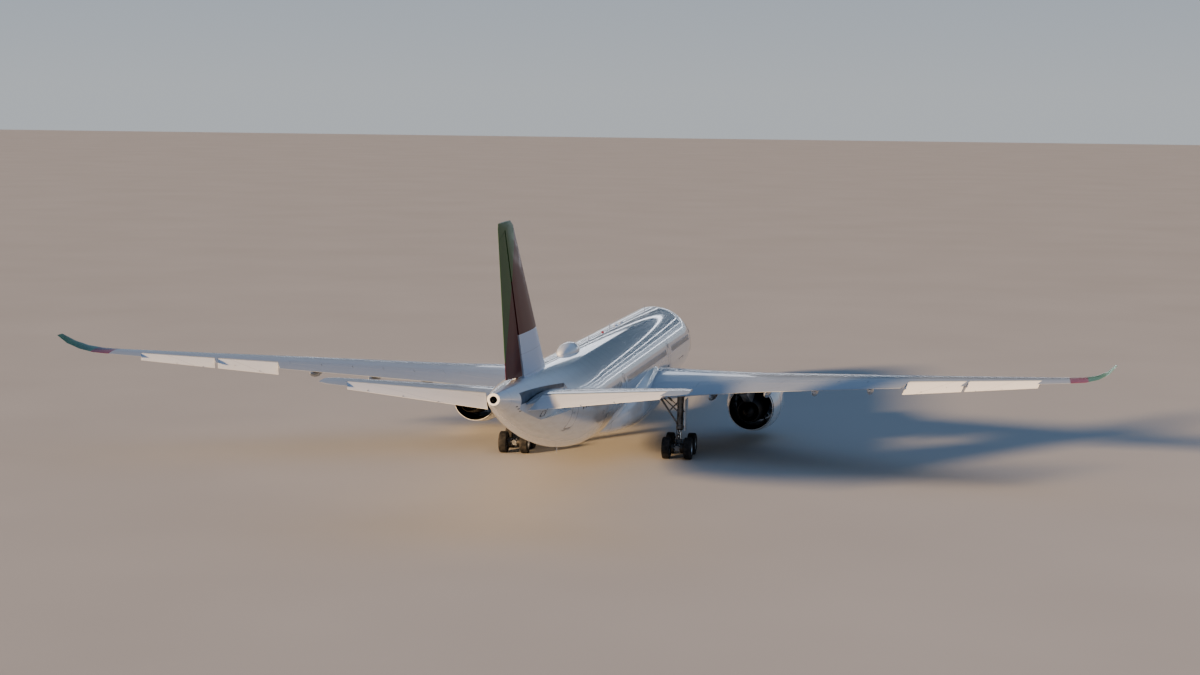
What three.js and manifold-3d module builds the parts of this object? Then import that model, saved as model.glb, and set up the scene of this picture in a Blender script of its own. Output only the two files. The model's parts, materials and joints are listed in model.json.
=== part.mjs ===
// A wide-body twin-engined airliner standing on its landing gear, as a 1:2 scale model.
// Sizes are written in metres of the full-size aircraft, and piece() turns them into the
// model's millimetres. X points to port, Y aft and Z up. The origin lies on the ground,
// on the centre line, halfway along the aircraft.
import * as THREE from "three";
import { mergeVertices } from "three/addons/utils/BufferGeometryUtils.js";
import Module from "manifold-3d";

const wasm = await Module();
wasm.setup();

// Driving dimensions, in metres of the full-size aircraft
const MM_PER_METRE = 500; // the model is half size
const LENGTH = 63.66;
const BARREL_RADIUS = 2.82;
const AXIS_HEIGHT = 4.32; // of the fuselage axis above the ground, at the nose
const AXIS_SLOPE = 0.0206; // the aircraft stands a little nose-down
const GAP = 0.001; // between two parts that are bolted together
const CLEAR = 0.014; // between a moving part and its neighbour
const PIN_CLEAR = 0.0007; // between a pin and its bore
const ROUND = 8; // sides of a small pin or rod

// Materials of the real parts
const paint = (name, color, roughness = 0.3, metalness = 0) =>
  Object.assign(new THREE.MeshStandardMaterial({ color, roughness, metalness }), { name });
const WHITE = paint("white_paint", 0xe9eaec, 0.2);
const GREY = paint("grey_paint", 0xa9adb2, 0.35);
const GREEN = paint("green_paint", 0x3f6b45, 0.3);
const RED = paint("red_paint", 0x7d2b2f, 0.3);
const BARE = paint("bare_metal", 0xb9bcc0, 0.3, 1);
const DARK = paint("dark_metal", 0x2e2f31, 0.5, 1);
const GLASS = paint("cockpit_glass", 0x15191d, 0.08);
const STEEL = paint("gear_steel", 0xc3c5c6, 0.4, 0.6);
const RUBBER = paint("tyre_rubber", 0x1b1b1c, 0.85);

const aircraft = new THREE.Group();
const v3 = (x, y, z) => new THREE.Vector3(x, y, z);
const mix = (a, b, t) => a + (b - a) * t;

// Stations are metres aft of the nose tip, and y is 0 at half the length.
const aft = (station) => station - LENGTH / 2;
const axisZ = (station) => AXIS_HEIGHT + AXIS_SLOPE * station;

// A closed three.js geometry becomes a solid that can be joined and cut.
function solid(geometry) {
  const bare = geometry.index ? geometry.toNonIndexed() : geometry.clone();
  for (const name of Object.keys(bare.attributes)) if (name !== "position") bare.deleteAttribute(name);
  const merged = mergeVertices(bare, 1e-6);
  const corners = Uint32Array.from(merged.index.array);
  const make = (triVerts) =>
    new wasm.Manifold(
      new wasm.Mesh({ numProp: 3, vertProperties: merged.attributes.position.array, triVerts }),
    );
  const made = make(corners);
  return made.volume() > 0 ? made : make(corners.reverse());
}

// A solid becomes a named mesh of the aircraft, in the model's millimetres.
function piece(name, material, made) {
  const mesh = made.getMesh();
  const places = new Float32Array(mesh.numVert * 3);
  for (let i = 0; i < mesh.numVert; i++) {
    places.set(mesh.vertProperties.subarray(i * mesh.numProp, i * mesh.numProp + 3), i * 3);
  }
  const geometry = new THREE.BufferGeometry()
    .setAttribute("position", new THREE.BufferAttribute(places, 3))
    .setIndex(new THREE.BufferAttribute(Uint32Array.from(mesh.triVerts), 1))
    .scale(MM_PER_METRE, MM_PER_METRE, MM_PER_METRE);
  geometry.computeVertexNormals();
  const node = new THREE.Mesh(geometry, material);
  node.name = name;
  aircraft.add(node);
  return node;
}

// A moving part notes its axis, in millimetres, and may rest turned about it.
function turning(node, point, axis, restDegrees = 0) {
  const centre = point.clone().multiplyScalar(MM_PER_METRE);
  const along = axis.clone().normalize();
  node.userData.hinge = { point: centre.toArray(), axis: along.toArray() };
  const turn = new THREE.Matrix4()
    .makeTranslation(centre.x, centre.y, centre.z)
    .multiply(new THREE.Matrix4().makeRotationAxis(along, THREE.MathUtils.degToRad(restDegrees)))
    .multiply(new THREE.Matrix4().makeTranslation(-centre.x, -centre.y, -centre.z));
  node.applyMatrix4(turn);
  return node;
}

// Joins rings of equally many points. Each end is closed by a zip of its opposite points.
function loft(rings) {
  const n = rings[0].length;
  const places = rings.flat().flatMap((p) => p.toArray());
  const faces = [];
  for (let r = 0; r + 1 < rings.length; r++) {
    for (let i = 0; i < n; i++) {
      const a = r * n + i;
      const b = r * n + ((i + 1) % n);
      faces.push(a, b, b + n, a, b + n, a + n);
    }
  }
  const cap = (first, flip) => {
    for (let i = 0; 2 * i + 1 < n - 1; i++) {
      const [a, b, c, d] = [i, i + 1, n - 2 - i, n - 1 - i].map((k) => first + k);
      const pair = c > b ? [a, c, b, a, d, c] : [a, d, b];
      faces.push(...(flip ? pair.reverse() : pair));
    }
  };
  cap(0, false);
  cap((rings.length - 1) * n, true);
  const geometry = new THREE.BufferGeometry();
  geometry.setAttribute("position", new THREE.Float32BufferAttribute(places, 3));
  geometry.setIndex(faces);
  return solid(geometry);
}

// A round rod from a to b, whose radius may change along it.
function rod(a, b, radiusA, radiusB = radiusA, sides = ROUND, start = 0) {
  const geometry =
    new THREE.CylinderGeometry(radiusB, radiusA, a.distanceTo(b), sides, 1, false, start);
  const up = v3(0, 1, 0);
  const along = b.clone().sub(a).normalize();
  geometry.applyQuaternion(new THREE.Quaternion().setFromUnitVectors(up, along));
  const middle = a.clone().add(b).multiplyScalar(0.5);
  return solid(geometry.translate(middle.x, middle.y, middle.z));
}

// The bore for a pin of that radius. Its flats face the pin's corners, which may be turned.
function bore(a, b, pin, sides = ROUND, turn = 0) {
  const radius = pin / Math.cos(Math.PI / sides) + PIN_CLEAR;
  return rod(a, b, radius, radius, sides, Math.PI / sides + THREE.MathUtils.degToRad(turn));
}

// An upright box between two corners.
function box(low, high) {
  const size = high.clone().sub(low);
  const middle = low.clone().add(high).multiplyScalar(0.5);
  return solid(new THREE.BoxGeometry(size.x, size.y, size.z).translate(middle.x, middle.y, middle.z));
}

// An outline of [y, z] points drawn on the side view, as thick as x0 to x1.
function sidePlate(outline, x0, x1) {
  const shape = new THREE.Shape(outline.map(([y, z]) => new THREE.Vector2(y, z)));
  const geometry = new THREE.ExtrudeGeometry(shape, { depth: x1 - x0, bevelEnabled: false });
  // The shape's x, y and depth become the aircraft's Y, Z and X.
  geometry.applyMatrix4(new THREE.Matrix4().set(0, 0, 1, x0, 1, 0, 0, 0, 0, 1, 0, 0, 0, 0, 0, 1));
  return solid(geometry);
}

// A profile of [radius, distance] points turned about an axis through a point, from a start angle.
function turned(profile, point, axis, sides, start = 0) {
  const outline = profile.map(([radius, along]) => new THREE.Vector2(radius, along));
  const geometry = new THREE.LatheGeometry(outline, sides, start);
  geometry.applyQuaternion(new THREE.Quaternion().setFromUnitVectors(v3(0, 1, 0), axis));
  return solid(geometry.translate(point.x, point.y, point.z));
}

const all = (solids) => solids.reduce((whole, next) => whole.add(next));

// The hinge frame of a flying surface: u along the hinge, v aft of it, w across both.
function hingeFrame(a, b) {
  const u = b.clone().sub(a).normalize();
  const v = v3(0, 1, 0).addScaledVector(u, -u.y).normalize();
  return { u, v, w: v3(0, 0, 0).crossVectors(u, v) };
}

// The room around a hinge line, from the front distances to the back one, and as high as given.
function bay(a, b, frontA, frontB, back, height) {
  const { v, w } = hingeFrame(a, b);
  const at = (p, along, up) => p.clone().addScaledVector(v, along).addScaledVector(w, up);
  const ring = (p, front) => [
    at(p, -front, -height), at(p, back, -height), at(p, back, height), at(p, -front, height),
  ];
  return loft([ring(a, frontA), ring(b, frontB)]);
}

// Pins at both ends of a flying surface turn in bores in what carries it.
function pinned(surface, carrier, a, b, radius, reach, restDegrees = 0) {
  const { u } = hingeFrame(a, b);
  for (const end of [a, b]) {
    const at = (along) => end.clone().addScaledVector(u, along);
    const deep = reach + GAP;
    surface = surface.add(rod(at(-reach), at(reach), radius));
    carrier = carrier.subtract(bore(at(-deep), at(deep), radius, ROUND, restDegrees));
  }
  return [surface, carrier];
}

// Fuselage: half width, top and bottom of each section, from the fuselage axis
const HULL = [
  // station, half width, top, bottom
  [0.0, 0.05, -0.65, -0.75],
  [0.12, 0.42, -0.32, -1.06],
  [0.45, 0.85, -0.02, -1.42],
  [1.0, 1.24, 0.24, -1.76],
  [1.7, 1.6, 0.5, -2.02],
  [2.1, 1.76, 0.74, -2.15],
  [2.7, 1.97, 1.24, -2.3],
  [3.5, 2.21, 1.72, -2.46],
  [4.6, 2.47, 2.16, -2.62],
  [6.0, 2.69, 2.55, -2.74],
  [7.5, 2.8, 2.76, -2.81],
  [9.0, 2.82, 2.82, -2.82],
  [41.5, 2.82, 2.82, -2.82],
  [44.5, 2.8, 2.82, -2.72],
  [47.5, 2.69, 2.82, -2.38],
  [50.5, 2.46, 2.82, -1.8],
  [53.5, 2.13, 2.82, -1.08],
  [56.5, 1.7, 2.82, -0.24],
  [59.0, 1.28, 2.8, 0.52],
  [60.6, 0.98, 2.77, 1.02],
  [62.2, 0.64, 2.72, 1.56],
  [63.66, 0.33, 2.65, 2.02],
];
const HULL_SIDES = 32;

function hullRing([station, halfWidth, top, bottom], grow = 0) {
  const middle = axisZ(station) + (top + bottom) / 2;
  return Array.from({ length: HULL_SIDES }, (_, i) => {
    const angle = (2 * Math.PI * (i + 0.5)) / HULL_SIDES;
    const across = (halfWidth + grow) * Math.cos(angle);
    return v3(across, aft(station), middle + ((top - bottom) / 2 + grow) * Math.sin(angle));
  });
}

// The hull between two of the table's stations, grown outwards by a little where asked.
function hull(from, to, grow = 0, trim = 0) {
  const rows = HULL.filter(([station]) => station >= from && station <= to);
  const rings = rows.map((row, i) => {
    const end = i === 0 ? trim : i === rows.length - 1 ? -trim : 0;
    return hullRing([row[0] + end, row[1], row[2], row[3]], grow);
  });
  return loft(rings);
}

const fuselage = {
  radome: hull(0, 1.7, 0, GAP / 2),
  fuselage: hull(1.7, 60.6, 0, GAP / 2),
  tail_cone: hull(60.6, 63.66, 0, GAP / 2),
};
const hullForCuts = hull(1.7, 63.66, GAP);

// Belly fairing that wraps the wing's roots
const FAIRING = [
  // station, half width, top, bottom, from the fuselage axis
  [19.4, 1.5, -1.9, -2.78],
  [20.4, 2.4, -0.9, -2.96],
  [22.0, 2.95, -0.1, -3.08],
  [24.0, 3.2, 0.5, -3.15],
  [26.5, 3.34, 0.7, -3.19],
  [30.0, 3.36, 0.55, -3.2],
  [33.4, 3.26, 0.1, -3.17],
  [35.6, 2.97, -0.45, -3.08],
  [37.4, 2.45, -1.05, -2.95],
  [38.8, 1.4, -1.9, -2.78],
];
const FAIRING_SIDES = 24;
const FAIRING_SQUARE = 0.66; // under 1 squares the section's shoulders

function fairingRing([station, halfWidth, top, bottom], grow) {
  const middle = axisZ(station) + (top + bottom) / 2;
  const bend = (c) => Math.sign(c) * Math.abs(c) ** FAIRING_SQUARE;
  return Array.from({ length: FAIRING_SIDES }, (_, i) => {
    const angle = (2 * Math.PI * (i + 0.5)) / FAIRING_SIDES;
    const rise = ((top - bottom) / 2 + grow) * bend(Math.sin(angle));
    return v3((halfWidth + grow) * bend(Math.cos(angle)), aft(station), middle + rise);
  });
}
const fairingLoft = (grow) => loft(FAIRING.map((row) => fairingRing(row, grow)));
let bellyFairing = fairingLoft(0).subtract(hull(9.0, 41.5, GAP));
bellyFairing = bellyFairing.decompose().sort((a, b) => b.volume() - a.volume())[0];
// The port wing is mirrored and the fairing isn't, so the cut for a wing holds both its sides.
const fairingForCuts = fairingLoft(GAP).add(mirrored(fairingLoft(GAP)));

// Aerofoil section: a thin blunt tail, more lift over the rear half, nose at 0 and tail at 1
const CHORD_STEPS = [1, 0.88, 0.7, 0.54, 0.38, 0.24, 0.13, 0.06, 0.02, 0.004];
const TAIL_THICKNESS = 0.004;

function aerofoil(thickness, camber) {
  const half = (x) =>
    5 * thickness *
      (0.2969 * Math.sqrt(x) - 0.126 * x - 0.3516 * x ** 2 + 0.2843 * x ** 3 - 0.1036 * x ** 4) +
    (x * TAIL_THICKNESS) / 2;
  const bow = (x) => camber * Math.sin(Math.PI * x ** 1.6);
  const upper = CHORD_STEPS.map((x) => [x, bow(x) + half(x)]);
  const lower = [...CHORD_STEPS].reverse().map((x) => [x, bow(x) - half(x)]);
  return [...upper, [0, 0], ...lower];
}

// Wing: leading edge station, chord and trailing edge height at distances from the centre line
const WING = [
  // out, leading edge, chord, trailing edge height, twist in degrees, thickness
  [1.9, 21.6, 11.12, 3.715, 1.6, 0.135],
  [6.4, 24.53, 9.07, 4.22, 1.2, 0.12],
  [10.0, 26.87, 7.43, 4.63, 0.9, 0.11],
  [20.0, 33.37, 4.77, 5.76, 0.2, 0.105],
  [29.5, 39.54, 2.26, 6.83, -0.6, 0.1],
];
const WING_CAMBER = 0.012;

function at(table, out) {
  const i = Math.min(Math.max(table.findIndex((row) => row[0] >= out), 1), table.length - 1);
  const [a, b] = [table[i - 1], table[i]];
  const t = (out - a[0]) / (b[0] - a[0]);
  return a.map((value, k) => mix(value, b[k], t));
}

function wingRing(row, drop = 0) {
  const [out, nose, chord, tailZ, twist, thickness] = row;
  const lift = Math.tan(THREE.MathUtils.degToRad(twist));
  return aerofoil(thickness, WING_CAMBER).map(([x, z]) =>
    v3(out, aft(nose + x * chord), tailZ + (1 - x) * chord * lift + z * chord - drop));
}

// A point in the wing's thickness, at a share of the chord. Side 1 is the top skin, 0 the middle.
function inWing(out, share, side = 0, table = WING, camber = WING_CAMBER) {
  const [, nose, chord, tailZ, twist, thickness] = at(table, out);
  const section = aerofoil(thickness, camber).slice(0, CHORD_STEPS.length);
  const k = section.findIndex(([x]) => x <= share);
  const [a, b] = [section[k - 1] ?? section[0], section[k]];
  const t = a[0] === b[0] ? 0 : (share - a[0]) / (b[0] - a[0]);
  const bow = camber * Math.sin(Math.PI * share ** 1.6);
  const top = mix(a[1], b[1], t);
  const middle = tailZ + (1 - share) * chord * Math.tan(THREE.MathUtils.degToRad(twist)) + bow * chord;
  const half = (top - bow) * chord;
  return { point: v3(out, aft(nose + share * chord), middle + side * half), half };
}

const wingLoft = (drop = 0) => loft(WING.map((row) => wingRing(row, drop)));
const wholeWing = wingLoft();
// The wing and a gap in front of it and below it, for what hangs from it
const wingRoom = all([[0, 0], [0, -GAP], [-GAP, 0], [-GAP, -GAP], [GAP, -GAP]].map(
  ([along, up]) => wholeWing.translate([0, along, up])));

// A flying surface cut from its parent section behind a hinge line, with a round nose.
function cutSurface(parent, a, b, radiusA, radiusB, chord, height) {
  const { u } = hingeFrame(a, b);
  const inA = a.clone().addScaledVector(u, CLEAR);
  const inB = b.clone().addScaledVector(u, -CLEAR);
  const surface = parent
    .intersect(bay(inA, inB, 0, 0, chord, height))
    .add(rod(inA, inB, radiusA, radiusB, 14));
  const room = bay(a, b, radiusA + CLEAR, radiusB + CLEAR, chord, height);
  return [surface, room];
}

const SURFACE_DEEP = 4; // further than any trailing edge lies behind its hinge
const SURFACE_HIGH = 1.2;

// Trailing edge surfaces: where they start and end across the span, and the chord they start at
const FLAPS = {
  // name: [out and chord share of the inner end, then of the outer end]
  flap_inner: [3.75, 0.853, 9.45, 0.758],
  flap_outer: [10.15, 0.752, 19.75, 0.752],
};
const AILERONS = {
  aileron_inner: [20.05, 0.745, 23.55, 0.742],
  aileron_outer: [23.7, 0.742, 27.9, 0.735],
};
const AILERON_DROOP = 22;
const SPOILERS = {
  // name: the same, the chord share of the spoiler's tail, and the panels in a row
  spoiler_inner: [6.5, 0.69, 9.35, 0.64, 0.115, 1],
  spoilers_outer: [10.4, 0.645, 19.5, 0.645, 0.1, 5],
};
const SPOILER_THICK = 0.075;
const SLATS = {
  slat_inner: [4.6, 8.35],
  slats_outer: [10.5, 28.6],
};
const SLAT_SHARE = 0.115;
const FAIRING_OUT = [7.5, 11.1, 14.2, 17.7]; // where the flap track fairings hang

// The part of the wing ahead of a share of its chord, between two distances out.
function noseOfWing(inner, outer, share, ahead) {
  const ring = (out) => {
    const back = inWing(out, share).point;
    const [front, high] = [back.y - ahead, 2];
    return [v3(out, front, back.z - high), v3(out, back.y, back.z - high),
      v3(out, back.y, back.z + high), v3(out, front, back.z + high)];
  };
  return loft([ring(inner), ring(outer)]);
}

const CANOE_SIDES = 10;

// A flap track fairing hangs below the wing and reaches a little past the trailing edge.
function flapTrackFairing(out) {
  const [, nose, chord, tailZ] = at(WING, out);
  const size = 0.55 + chord * 0.055;
  const rows = [
    // share of the chord, half width, depth below the wing's middle
    [0.51, 0.04, 0.2],
    [0.55, 0.13, 0.36],
    [0.62, 0.2, 0.53],
    [0.7, 0.24, 0.63],
    [0.78, 0.25, 0.66],
    [0.88, 0.23, 0.58],
    [0.97, 0.16, 0.42],
    [1.03, 0.1, 0.27],
    [1.07, 0.03, 0.14],
  ];
  return loft(rows.map(([share, wide, deep]) => {
    const along = nose + share * chord;
    const top = share < 1 ? inWing(out, share).point.z : tailZ;
    return Array.from({ length: CANOE_SIDES }, (_, i) => {
      const angle = (2 * Math.PI * (i + 0.5)) / CANOE_SIDES;
      return v3(out + wide * size * Math.cos(angle), aft(along),
        top - 0.02 - (deep * size) / 2 + (deep * size) / 2 * Math.sin(angle) * 0.98);
    });
  }));
}

function buildWing() {
  const parts = {};
  let box = wholeWing;
  for (const [name, [inner, inShare, outer, outShare]] of Object.entries(FLAPS)) {
    const [a, b] = [inWing(inner, inShare).point, inWing(outer, outShare).point];
    const { u } = hingeFrame(a, b);
    const [inA, inB] = [a.clone().addScaledVector(u, GAP), b.clone().addScaledVector(u, -GAP)];
    parts[name] = { made: wholeWing.intersect(bay(inA, inB, -GAP, -GAP, SURFACE_DEEP, SURFACE_HIGH)) };
    box = box.subtract(bay(a, b, 0, 0, SURFACE_DEEP, SURFACE_HIGH));
  }
  for (const [name, [inner, outer]] of Object.entries(SLATS)) {
    parts[name] = { made: wholeWing.intersect(noseOfWing(inner + GAP, outer - GAP, SLAT_SHARE, 2)) };
    box = box.subtract(noseOfWing(inner, outer, SLAT_SHARE, 2.01).translate([0, GAP, 0]));
  }
  for (const [name, [inner, inShare, outer, outShare]] of Object.entries(AILERONS)) {
    const [p, q] = [inWing(inner, inShare), inWing(outer, outShare)];
    const [surface, room] =
      cutSurface(wholeWing, p.point, q.point, p.half, q.half, SURFACE_DEEP, SURFACE_HIGH);
    parts[name] = { made: surface, a: p.point, b: q.point, rest: -AILERON_DROOP };
    box = box.subtract(room);
    [parts[name].made, box] = pinned(surface, box, p.point, q.point, 0.03, 0.06, -AILERON_DROOP);
  }
  for (const [name, [inner, inShare, outer, outShare, chordShare, panels]] of Object.entries(SPOILERS)) {
    const sink = v3(0, 0, -SPOILER_THICK / 2);
    const a = inWing(inner, inShare, 1).point.add(sink);
    const b = inWing(outer, outShare, 1).point.add(sink);
    const { u } = hingeFrame(a, b);
    const deep = (out) => chordShare * at(WING, out)[2];
    const [deepA, deepB] = [deep(inner), deep(outer)];
    const tail = (grow) => spoilerPlan(a, b, deepA + grow, deepB + grow, grow);
    const skin = wholeWing.subtract(wingLoft(SPOILER_THICK));
    let panel = skin.intersect(tail(-CLEAR)).add(
      rod(a.clone().addScaledVector(u, CLEAR), b.clone().addScaledVector(u, -CLEAR), SPOILER_THICK / 2));
    for (let i = 1; i < panels; i++) {
      const p = a.clone().lerp(b, i / panels);
      const half = u.clone().multiplyScalar(CLEAR);
      panel = panel.subtract(bay(p.clone().sub(half), p.clone().add(half), -0.09, -0.09, 3, 1));
    }
    box = box.subtract(tail(0).subtract(wingLoft(SPOILER_THICK + CLEAR)))
      .subtract(rod(a, b, SPOILER_THICK / 2 + CLEAR));
    parts[name] = { a, b };
    [parts[name].made, box] = pinned(panel, box, a, b, 0.02, 0.1);
  }
  box = all([box, ...FAIRING_OUT.map((out) => flapTrackFairing(out).subtract(flapRoom(out)))]);
  box = box.subtract(hullForCuts).subtract(fairingForCuts);
  parts.wing = { made: box.decompose().sort((a, b) => b.volume() - a.volume())[0] };
  return parts;
}

// The plan of a spoiler: its hinge line in front and its own tail line behind.
function spoilerPlan(a, b, deepA, deepB, grow) {
  const { u, v, w } = hingeFrame(a, b);
  const at = (p, end, along, up) =>
    p.clone().addScaledVector(u, end * grow).addScaledVector(v, along).addScaledVector(w, up);
  return loft([
    [at(a, -1, 0, -1), at(a, -1, deepA, -1), at(a, -1, deepA, 1), at(a, -1, 0, 1)],
    [at(b, 1, 0, -1), at(b, 1, deepB, -1), at(b, 1, deepB, 1), at(b, 1, 0, 1)],
  ]);
}

// A flap track fairing leaves the flaps that hang over it free.
function flapRoom(out) {
  const row = out < FLAPS.flap_inner[2] ? FLAPS.flap_inner : FLAPS.flap_outer;
  const [a, b] = [inWing(row[0], row[1]).point, inWing(row[2], row[3]).point];
  return wingLoft(GAP).add(wholeWing).intersect(bay(a, b, 0, 0, SURFACE_DEEP, SURFACE_HIGH));
}

// Winglet: the wing tip bends up and sweeps back.
const WINGLET = [
  // out, leading edge, chord, trailing edge height, lean in degrees, thickness
  [29.5, 39.54, 2.26, 6.83, 6.5, 0.1],
  [30.35, 40.2, 2.0, 6.95, 12, 0.09],
  [31.05, 41.0, 1.66, 7.2, 27, 0.085],
  [31.6, 41.95, 1.3, 7.6, 43, 0.08],
  [31.96, 43.1, 0.8, 8.16, 58, 0.08],
];

function wingletRing([out, nose, chord, tailZ, lean, thickness]) {
  const tilt = THREE.MathUtils.degToRad(lean);
  return aerofoil(thickness, 0).map(([x, z]) =>
    v3(out - z * chord * Math.sin(tilt), aft(nose + x * chord), tailZ + z * chord * Math.cos(tilt)));
}
const wingletLoft = () => {
  const rings = WINGLET.map(wingletRing);
  rings[0] = wingRing(WING.at(-1)).map((p) => v3(p.x + GAP, p.y, p.z));
  return loft(rings);
};

// Engines: profiles of radius against the station, turned about the engine's axis
const ENGINE_OUT = 9.42;
const ENGINE_Z = 2.53;
const ENGINE_SIDES = 24;
const INTAKE = 21.0;
const NACELLE = [
  // radius, station
  [1.5, 21.0], [1.66, 21.12], [1.8, 21.7], [1.87, 22.6], [1.88, 23.7],
  [1.8, 24.9], [1.475, 26.85], [1.44, 26.85],
  [1.5, 25.6], [1.48, 23.9], [1.44, 22.9], [1.43, 22.2], [1.37, 21.5], [1.5, 21.0],
];
const CORE = [
  // radius, station; it runs from the fan's back to the tail plug
  [0, 23.1], [0.9, 23.1], [1.06, 24.6], [1.0, 26.2], [0.68, 28.3], [0.46, 28.3], [0.24, 29.0], [0, 29.25],
];
const FAN_RADIUS = 1.385;
const FAN_STATION = 22.5;
const FAN_BLADES = 18;
const BLADE = { chord: 0.4, pitch: 42, half: 0.018 }; // half is of its thickness
const STRUTS = 6;

function engineCentre(station) {
  return v3(ENGINE_OUT, aft(station), ENGINE_Z);
}

const engineProfile = (rows) => rows.map(([radius, station]) => [radius, station - INTAKE]);
const engineBody = (rows) =>
  turned(engineProfile(rows), engineCentre(INTAKE), v3(0, 1, 0), ENGINE_SIDES);

// The core, with the struts that hold the nacelle round it and the bore of the fan's shaft.
function engineCore() {
  const strut = (i) => {
    const angle = (2 * Math.PI * i) / STRUTS;
    const across = v3(Math.cos(angle), 0, Math.sin(angle));
    const from = engineCentre(23.75).addScaledVector(across, 0.8);
    const to = engineCentre(23.95).addScaledVector(across, 1.6);
    return rod(from, to, 0.08, 0.08, 4);
  };
  const struts = all(Array.from({ length: STRUTS }, (_, i) => strut(i))).subtract(nacelleSleeve());
  return engineBody(CORE).add(struts).subtract(bore(engineCentre(22.9), engineCentre(23.5), FAN_SHAFT));
}

// Everything outside the nacelle's inner wall, kept off by a gap.
function nacelleSleeve() {
  const wall = NACELLE.slice(8, 11).map(([radius, station]) => [radius - GAP, station]);
  return turned(engineProfile([[2.2, 25.6], ...wall, [2.2, 22.9], [2.2, 25.6]]),
    engineCentre(INTAKE), v3(0, 1, 0), ENGINE_SIDES);
}

const FAN_SHAFT = 0.16;

// The fan: a spinner, a hub and pitched blades.
function fan() {
  const hub = turned(
    engineProfile([[0, 21.75], [0.36, 22.15], [0.46, 22.45], [0.46, 23.0], [0, 23.0]]),
    engineCentre(INTAKE), v3(0, 1, 0), FAN_BLADES);
  const blade = (i) => {
    const angle = (2 * Math.PI * (i + 0.5)) / FAN_BLADES;
    const turn = THREE.MathUtils.degToRad(BLADE.pitch);
    const ring = (radius) => {
      return [[-0.5, -1], [0.5, -1], [0.5, 1], [-0.5, 1]].map(([along, side]) => {
        const across = along * BLADE.chord * Math.sin(turn) + side * BLADE.half * Math.cos(turn);
        const back = along * BLADE.chord * Math.cos(turn) - side * BLADE.half * Math.sin(turn);
        const place = v3(across, back, radius).applyAxisAngle(v3(0, 1, 0), angle);
        return place.add(engineCentre(FAN_STATION + 0.14));
      });
    };
    return loft([0.4, FAN_RADIUS].map(ring));
  };
  const blades = Array.from({ length: FAN_BLADES }, (_, i) => blade(i));
  const shaft = rod(engineCentre(22.95), engineCentre(23.45), FAN_SHAFT);
  return all([hub, shaft, ...blades]);
}

// The pylon hangs the engine from the wing.
function pylon() {
  const [front, rear] = [ENGINE_Z + 1.6, ENGINE_Z + 0.55];
  const side = sidePlate(
    [
      [aft(22.9), front], [aft(23.6), ENGINE_Z + 1.98], [aft(25.2), ENGINE_Z + 2.22],
      [aft(27.3), 4.98], [aft(30.9), 4.7], [aft(31.9), 4.15], [aft(30.2), 3.6],
      [aft(28.6), rear + 0.1], [aft(27.4), rear], [aft(24.9), rear], [aft(24.6), ENGINE_Z + 1.2],
    ],
    ENGINE_OUT - 0.24, ENGINE_OUT + 0.24);
  return side
    .subtract(engineBody([...CORE.slice(0, 5).map(([r, station]) => [r && r + GAP, station]), [0, 28.31]]))
    .subtract(wingRoom)
    .subtract(nacelleShell());
}

// The nacelle grown by the gap, so that the pylon ends at both its walls.
function nacelleShell() {
  const rows = NACELLE.map(([radius, station], i) => [radius + (i < 7 ? GAP : -GAP), station]);
  return turned(engineProfile([...rows.slice(0, -1), rows[0]]),
    engineCentre(INTAKE), v3(0, 1, 0), ENGINE_SIDES);
}

// Fin and rudder, with sections at heights above the ground
const FIN = [
  // height, leading edge, chord, thickness
  [7.6, 50.5, 10.0, 0.1],
  [8.9, 51.8, 8.95, 0.1],
  [16.55, 59.35, 3.4, 0.095],
  [16.79, 59.85, 2.85, 0.06],
];
const RUDDER = { lowZ: 8.45, highZ: 16.35, share: 0.7 };
const RUDDER_FOOT = [[57, 8.37], [66, 8.82]]; // the rudder ends above this line of station and height

function finRing([z, nose, chord, thickness]) {
  return aerofoil(thickness, 0).map(([x, y]) => v3(y * chord, aft(nose + x * chord), z));
}

function finPoint(z, share) {
  const [, nose, chord, thickness] = at(FIN, z);
  const section = aerofoil(thickness, 0);
  const k = section.findIndex(([x]) => x <= share);
  const t = (share - section[k - 1][0]) / (section[k][0] - section[k - 1][0]);
  return {
    point: v3(0, aft(nose + share * chord), z),
    half: mix(section[k - 1][1], section[k][1], t) * chord,
  };
}

function buildFin() {
  const whole = loft(FIN.map(finRing));
  const [low, high] = [finPoint(RUDDER.lowZ, RUDDER.share), finPoint(RUDDER.highZ, RUDDER.share)];
  const [surface, room] = cutSurface(whole, low.point, high.point, low.half, high.half, SURFACE_DEEP, 1.5);
  const [foot, end] = RUDDER_FOOT.map(([station, z]) => [aft(station), z]);
  const above = sidePlate([foot, end, [end[0], 20], [foot[0] - 9, 20]], -1, 1);
  const footRoom = bay(low.point.clone().sub(hingeFrame(low.point, high.point).u), low.point,
    low.half + CLEAR, low.half + CLEAR, SURFACE_DEEP, 1.5);
  const fixed = whole.subtract(room).subtract(footRoom).subtract(hull(47.5, 62.2, GAP));
  const [rudder, fin] = pinned(surface.intersect(above), fixed, low.point, high.point, 0.07, 0.3);
  return { rudder, fin, low: low.point, high: high.point };
}

// Tailplane and elevators, with sections at distances from the centre line
const TAIL_ROOT = [1.6, 54.5, 0.95, 60.0]; // half width of the flats on the hull at two stations
const TAILPLANE = [
  // out, leading edge, chord, trailing edge height, twist in degrees, thickness
  [0.5, 53.95, 6.1, 7.2, -1.2, 0.1],
  [9.2, 59.55, 2.42, 8.26, -1.2, 0.09],
  [9.7, 60.1, 1.75, 8.33, -1.2, 0.06],
];
const ELEVATOR = { inner: 1.55, outer: 8.45, share: 0.7, droop: 12 };
const TAIL_PIVOT = { station: 58.1, z: 7.33, radius: 0.17 };
const TAIL_GAP = 0.06;

const tailFlat = (station, off) =>
  mix(TAIL_ROOT[0], TAIL_ROOT[2], (station - TAIL_ROOT[1]) / (TAIL_ROOT[3] - TAIL_ROOT[1])) + off;

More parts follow.
